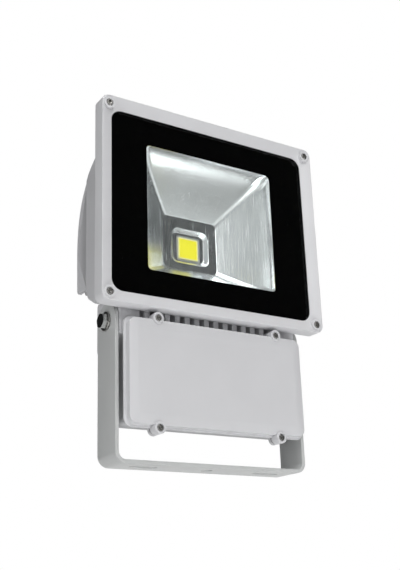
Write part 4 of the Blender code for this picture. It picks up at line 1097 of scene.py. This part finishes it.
def boss_outline():
    """Side cheek that carries a tilt bolt, with its rounded lower rear corner."""
    radius = CHEEK_REAR_R
    corner = (CHEEK_REAR - radius, -CHEEK_REAR_Z + radius)
    outline = [
        (NECK_FRONT, -CHEEK_FRONT_Z),
        (NECK_FRONT, under_z(NECK_FRONT) - GAP * 2),
        (UNDER_DEPTH, under_z(UNDER_DEPTH) - GAP * 2),
        (CHEEK_REAR, under_z(UNDER_DEPTH) - CHEEK_REAR_DROP),
    ]
    return outline + arc(corner, radius, 0, -pi / 2 - CHEEK_TUCK, 14)


def flange_ring(inset, y):
    """Ring in step with the outline of the driver box's flange, drawn in by inset."""
    side = BOX_FLANGE_SIDE + inset
    return lid_ring(side, BOX_FLANGE_BOTTOM + inset, side, y, BOX_CORNER_R - inset / 2)


def neck_slots():
    """Open slots in line with those of the casting, the first and the last one shorter."""
    front = NECK_FRONT - EMBED
    last = NECK_SLOT_COUNT - 1
    slots = []
    for i in range(NECK_SLOT_COUNT):
        rear = NECK_SLOT_SHORT if i in (0, last) else NECK_REAR + EMBED
        outline = rectangle(front, rear, -NECK_FLOOR, -UNDER_REAR)
        x = (i - last / 2) * FIN_PITCH
        slots.append(prism_x(outline, x - NECK_SLOT / 2, x + NECK_SLOT / 2))
    return slots


def box_shell(half_x, low, top):
    """Drafted body of the driver box, from its flange to its rounded rear edge."""
    half_z = (top - low) / 2 - GAP
    middle = (top + low) / 2
    rings = []
    for inset, y in fillet([
        (0, BOX_BODY_Y - EMBED, 0),
        (BOX_DRAFT, BOX_BACK_Y, BOX_REAR_EDGE),
        (BOX_DRAFT + BOX_REAR_MARGIN, BOX_BACK_Y, 0),
    ], 6):
        drawn_in = max(0, inset - BOX_DRAFT)
        rings.append(rounded_rect(half_x - inset, half_z - drawn_in, BOX_CORNER_R, y, middle))
    return tool(skin("box_shell", [rings]), FACE)


def driver_box():
    """Box behind the lid with its neck, slots and the side cheeks of the tilt bolts."""
    flange = fillet([
        (BOX_FLANGE_LAP, BOX_FLANGE_Y, 0),
        (0, BOX_FLANGE_Y, BOX_FRONT_EDGE),
        (0, BOX_BODY_Y, BOX_FLANGE_EDGE),
        (BOX_FLANGE_LAP, BOX_BODY_Y, 0),
    ])
    rings = [flange_ring(inset, y) for inset, y in flange]
    box = link("driver_box", skin("driver_box", [rings]), FACE)
    low = -LID_BOTTOM + BOX_INSET_BOTTOM
    half_x = LID_W / 2 - BOX_INSET_SIDE
    join(box, box_shell(half_x, low, -LID_TOP - BOX_FLANGE_SIDE))
    neck_x = NECK_X - NECK_TRIM
    join(box, slab("box_neck", neck_outline(), -neck_x, neck_x))
    for side in (-1, 1):
        ends = sorted((side * NECK_X, side * (NECK_X - CHEEK_SIDE_T)))
        cheek = slab("box_cheek", boss_outline(), *ends)
        soften_edges(cheek, CHEEK_SIDE_EDGE)
        join(box, cheek)
    cut(box, tool(skin("box_slots", neck_slots()), FACE))
    profile = [(EAR_R, -BOX_BODY_Y - EMBED / 2, EAR_EDGE), (EAR_R, -BOX_FLANGE_Y, 0)]
    for spot in ear_spots():
        join(box, facing(turned("box_ear", profile), *spot))
    hollow_box(box, half_x - BOX_WALL, low + BOX_WALL)
    settle(box)
    dress(box, PAINT, "cast_paint", "driver_housing")


def hollow_box(box, inner_x, floor):
    """Cut the driver box's cavity, the holes of the tilt bolts and the gland's hole."""
    front = BOX_FLANGE_Y - EMBED
    rear = BOX_BACK_Y - BOX_WALL
    outline = rectangle(front, rear, floor, -BOSS_CEILING)
    cut(box, slab("box_cavity", outline, -inner_x, inner_x))
    for side in (-1, 1):
        ends = sorted((side * (NECK_X - BOLT_HOLE_IN), side * (NECK_X + BOLT_HOLE_OUT)))
        cut(box, rod_x("bolt_hole", BOLT_R + GAP, *ends, PIVOT.y))
    spot = (0, face_centre("gland_body")[1])
    cut(box, rod_y("gland_hole", GLAND_HOLE_R, rear - EMBED, BOX_BACK_Y + EMBED, *spot))


def gland_spot():
    """Point on the driver box's back in the middle of the cable gland."""
    low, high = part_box("gland_body")
    return 0, FACE.y + BOX_BACK_Y, (low.z + high.z) / 2


def inlet_body():
    """Threaded tail, hexagon collar and neck of the cable gland, along +y."""
    low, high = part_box("gland_body")
    spot = gland_spot()
    tail = low.y - spot[1]
    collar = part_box("gland_cap")[0].y - spot[1] - GAP
    crest = high.y - spot[1]
    across = high.x - low.x
    edge = GLAND_COLLAR_EDGE
    tube = ((GLAND_BORE_R, tail), (GLAND_THREAD_R, tail), (GLAND_THREAD_R, GAP))
    nut = ((-edge, GAP), (0, GAP + edge), (0, collar - edge), (-edge, collar))
    neck = ((GLAND_NECK_R, collar), (GLAND_NECK_R, crest), (GLAND_BORE_R, crest))
    rings = [disc_ring(radius, height) for radius, height in tube]
    rings += [hex_ring(across + change, height) for change, height in nut]
    rings += [disc_ring(radius, height) for radius, height in neck]
    made = piece("inlet_body", rings, True, spot, (-pi / 2, 0, 0))
    dress(made, NYLON, "nylon", "gland_body")


def inlet_cap():
    """Domed cap of the cable gland, ribbed for the hand up to GRIP_END of its length."""
    low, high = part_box("gland_cap")
    spot = gland_spot()
    start = low.y - spot[1]
    end = high.y - spot[1]
    length = end - start
    outer = (high.x - low.x) / 2
    inner = GLAND_NECK_R + GAP
    knots = [
        (inner, start, 0),
        (outer, start, 0.0006),
        (outer * 0.97, start + length * 0.64, 0.001),
        (outer * 0.80, end - 0.0016, 0.002),
        (outer * 0.60, end, 0.0010),
        (GLAND_BORE_R, end, 0.0006),
        (GLAND_BORE_R, start + length * 0.85, 0),
        (inner, start + length * 0.8, 0),
    ]
    rings = []
    for radius, height in fillet(knots, 5, True):
        ring = []
        grip = min(1.0, max(0.0, (start + length * GRIP_END - height) * GRIP_FADE))
        grip *= 1.0 if radius > outer * 0.9 else 0.0
        for i in range(ROUND_STEPS * 2):
            angle = pi * i / ROUND_STEPS
            reach = radius - GRIP_DEPTH * grip * (0.5 - 0.5 * cos(GRIP_COUNT * angle))
            ring.append((reach * cos(angle), reach * sin(angle), height))
        rings.append(ring)
    made = piece("inlet_cap", rings, True, spot, (-pi / 2, 0, 0))
    dress(made, NYLON, "nylon", "gland_cap")


# Bracket and tilt bolts


def u_bracket():
    """Bent flat strip with rounded long edges, trimmed to round ends and pierced."""
    half_w = STRIP_W / 2
    middle = STRIP_T / 2
    radius = BEND_R - middle
    path = [(STRIP_HIGH.x - middle, STRIP_HIGH.z, 0.0)]
    for i in range(BEND_STEPS + 1):
        angle = -pi / 2 * i / BEND_STEPS
        x = STRIP_HIGH.x - BEND_R + radius * cos(angle)
        path.append((x, BEND_R + radius * sin(angle), angle))
    path += [(-x, z, -pi - angle) for x, z, angle in reversed(path)]
    corners = ((-middle, -half_w), (middle, -half_w), (middle, half_w), (-middle, half_w))
    section = fillet([(*corner, STRIP_EDGE) for corner in corners], 3, True)
    rings = []
    for x, z, angle in path:
        rings.append([(x + out * cos(angle), y, z + out * sin(angle)) for out, y in section])
    strip = link("u_bracket", skin("u_bracket", [rings]))
    reach = STRIP_HIGH.x + EMBED
    outline = rectangle(-STRIP_W, STRIP_W, PIVOT.z, PIVOT.z + STRIP_W)
    outline += arc((0, PIVOT.z), half_w, 0, pi, END_STEPS)
    cut(strip, tool(skin("round_ends", [prism_x(outline, -reach, reach)])))
    cut(strip, rod_x("pivot_hole", BOLT_R + PIVOT_CLEARANCE, -reach, reach, 0))
    ends = (-EMBED, STRIP_T + EMBED)
    hole = [disc_ring(BASE_HOLE_R, z) for z in ends]
    cut(strip, tool(skin("centre_hole", [hole])))
    for side in (-1, 1):
        slot = [slot_ring(side * BASE_SLOT_X, z) for z in ends]
        cut(strip, tool(skin("base_slot", [slot])))
    settle(strip)
    dress(strip, STRIP_PAINT, "bracket_paint", "bracket", body="bracket")


def slot_ring(centre, z):
    """Ring of points round a slot in the bracket's base, at height z."""
    radius = BASE_SLOT_W / 2
    straight = BASE_SLOT_L / 2 - radius
    points = []
    for side, start in ((1, -pi / 2), (-1, pi / 2)):
        middle = centre + side * straight
        for i in range(BEND_STEPS + 1):
            angle = start + pi * i / BEND_STEPS
            points.append((middle + radius * cos(angle), radius * sin(angle), z))
    return points


def tilt_bolts():
    """Hexagon bolt with a chamfered head and a flat washer on each side."""
    for side, name in ((-1, "left"), (1, "right")):
        turn = (0, side * pi / 2, 0)
        near, tip = sorted(abs(corner.x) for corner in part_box(f"pivot_bolt_{name}"))
        seat = max(abs(corner.x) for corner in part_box(f"flat_washer_{name}")) + GAP
        head = tip - seat
        length = seat - near
        spot = (side * seat, PIVOT.y, PIVOT.z)
        prism = skin("head", [[hex_ring(BOLT_HEAD_AF, z, 6) for z in (0, head)]])
        prism.transform(Matrix.Rotation(BOLT_SPIN, 4, "Z"))
        bolt = link(f"tilt_bolt_{name}", prism, spot, turn)
        corner_r = BOLT_HEAD_AF / 2 / cos(pi / 6)
        cone = [(corner_r * 1.02, -EMBED, 0), (corner_r * 1.02, head * CHAMFER_START, 0)]
        cone += [(BOLT_HEAD_AF / 2 * BOLT_FLAT_R, head - 0.0002, 0.0003), (0.001, head, 0)]
        modify(bolt, tool(turned("chamfer", cone), spot, turn), "INTERSECT")
        shank = [(BOLT_R * BOLT_TIP_R, -length, 0), (BOLT_R, -length + BOLT_TIP_L, 0)]
        shank.append((BOLT_R, EMBED, 0))
        join(bolt, tool(turned("shank", shank), spot, turn))
        settle(bolt, BOLT_CREASE)
        dress(bolt, CHROME, "chrome", f"pivot_bolt_{name}")
        washer(f"plain_washer_{name}", f"flat_washer_{name}", side)


def washer(name, node, side):
    """Flat washer with rounded rims, which lies outside the bracket's leg."""
    low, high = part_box(node)
    inner = BOLT_R + GAP
    outer = (high.y - low.y) / 2
    thick = high.x - low.x
    section = fillet([
        (inner, 0, WASHER_BORE_EDGE),
        (outer, 0, WASHER_EDGE),
        (outer, thick, WASHER_EDGE),
        (inner, thick, WASHER_BORE_EDGE),
    ], 3, True)
    rings = [disc_ring(radius, height) for radius, height in section]
    spot = (side * min(abs(low.x), abs(high.x)), PIVOT.y, PIVOT.z)
    made = piece(name, rings, True, spot, (0, side * pi / 2, 0))
    dress(made, STEEL, "steel", node)


# Nodes that keep their own shape


def finish_nodes():
    finishes = (
        (RUBBER, ("glass_seal", "driver_gasket", "lead_grommet", "gland_seal")),
        (ALUMINIUM, ("led_plate", "driver_module")),
        (STEEL, ("reflector_screw", "led_screw", "coupling_screw", "module_screw")),
        (NYLON, ("gland_locknut",)),
        (CABLE, ("led_lead",)),
    )
    for finish, prefixes in finishes:
        for name in (name for prefix in prefixes for name in nodes_like(prefix)):
            mesh = frame["nodes"][name].data
            mesh.materials.clear()
            mesh.materials.append(finish)


# Floor, backdrop, lamps and camera


def white_for_camera(tree, shader, share=None):
    """Mix a surface with plain white for the rays that see it as the background."""
    path = tree.nodes.new("ShaderNodeLightPath")
    seen = path.outputs["Is Camera Ray"]
    for kind in ("Is Glossy Ray", "Is Transmission Ray"):
        seen = combine(tree, "ADD", seen, path.outputs[kind])
    if share:
        seen = combine(tree, "MULTIPLY", seen, share)
    glow = add(tree, "ShaderNodeEmission", {"Color": (1, 1, 1, 1), "Strength": 1.0}, {})
    lead_out(tree, seen, shader, glow, tree.nodes["Material Output"])


def plane(name, size, location, turn=(0, 0, 0)):
    bm = bmesh.new()
    bmesh.ops.create_grid(bm, x_segments=1, y_segments=1, size=size / 2)
    mesh = bpy.data.meshes.new(name)
    bm.to_mesh(mesh)
    bm.free()
    return link(name, mesh, location, turn)


def studio():
    """Pale floor that fades to white away from the lamp, and a white backdrop behind it."""
    floor = plane("floor", FLOOR_SIZE, (0, 0, FLOOR_HEIGHT))
    made, tree, shader = blank("pale_floor", {"Roughness": 0.8, "Specular IOR Level": 0.1})
    where = object_place(tree)
    grain = noise(tree, where, 8, 4)
    tone = two_tone(tree, grain, (0.84, 0.84, 0.84), (0.88, 0.88, 0.88))
    tree.links.new(tone, shader.inputs["Base Color"])
    away = add(tree, "ShaderNodeVectorMath", {}, {0: where})
    away.operation = "LENGTH"
    white_for_camera(tree, shader, spread(tree, away.outputs["Value"], *FLOOR_WHITE, *FLOOR_FADE))
    floor.data.materials.append(made)
    wall = plane("backdrop", BACKDROP_SIZE, BACKDROP_PLACE, (pi / 2, 0, 0))
    pale = (0.86, 0.86, 0.86, 1)
    made, tree, shader = blank("white_backdrop", {"Base Color": pale, "Roughness": 0.9})
    white_for_camera(tree, shader)
    wall.data.materials.append(made)


def world():
    """White behind the object; for all other rays a room that is bright only towards one side."""
    made = bpy.data.worlds.new("studio")
    bpy.context.scene.world = made
    made.use_nodes = True
    tree = made.node_tree
    tree.nodes.clear()
    where = tree.nodes.new("ShaderNodeTexCoord").outputs["Generated"]
    toward = add(tree, "ShaderNodeVectorMath", {1: BRIGHT_SIDE}, {0: where})
    toward.operation = "DOT_PRODUCT"
    level = spread(tree, toward.outputs["Value"], ROOM_DARK, ROOM_BRIGHT, *ROOM_FADE)
    seen = tree.nodes.new("ShaderNodeLightPath").outputs["Is Camera Ray"]
    plain = add(tree, "ShaderNodeBackground", {"Color": (1, 1, 1, 1), "Strength": 1.0}, {})
    room = add(tree, "ShaderNodeBackground", {"Color": (0.98, 0.99, 1.0, 1)}, {"Strength": level})
    lead_out(tree, seen, room, plain, tree.nodes.new("ShaderNodeOutputWorld"))


def soft_box(name, direction, distance, width, height, power):
    """Area lamp that stands in a direction from the studio's centre and looks at it."""
    light = bpy.data.lights.new(name, "AREA")
    light.shape = "RECTANGLE"
    light.size = width
    light.size_y = height
    light.energy = power
    away = Vector(direction).normalized()
    turn = away.to_track_quat("Z", "Y").to_euler()
    made = link(name, light, STUDIO_CENTRE + away * distance, turn)
    made.visible_camera = False


def camera():
    """Camera of the reference view, solved from the front frame's corners."""
    lens = bpy.data.cameras.new("camera")
    lens.lens = LENS_LENGTH
    lens.sensor_width = SENSOR_WIDTH
    lens.sensor_fit = "AUTO"
    bpy.context.scene.camera = link("camera", lens, CAMERA_PLACE, CAMERA_TURN)


front_bezel()
screws()
window_glass()
black_mask()
reflector_bowl()
light_source()
heatsink_casting()
driver_lid()
driver_box()
inlet_body()
inlet_cap()
u_bracket()
tilt_bolts()
finish_nodes()
studio()
world()

# Lamps: direction and distance from the studio's centre, width, height and power
soft_box("front", (-0.12, -0.86, 0.50), 2.2, 0.8, 0.7, 7)
soft_box("front_low", (-0.15, -0.86, -0.48), 2.0, 0.8, 0.8, 5)
soft_box("above", (-0.10, -0.70, 0.72), 2.0, 1.0, 0.8, 13)
soft_box("left", (-0.90, -0.28, 0.12), 1.6, 0.8, 0.8, 2.6)
soft_box("below", (0.24, -0.50, -0.82), 1.1, 0.5, 0.5, 4.2)
soft_box("left_low", (-0.85, -0.10, -0.50), 1.3, 0.6, 0.6, 3.0)
soft_box("top", (0.1, -0.1, 1.0), 1.6, 1.2, 1.2, 9)
soft_box("right", (0.80, 0.50, 0.25), 1.8, 1.2, 1.0, 10)
soft_box("back", (0.35, 0.85, 0.35), 1.8, 1.4, 1.0, 3)

camera()

bpy.context.scene.view_settings.view_transform = "Standard"
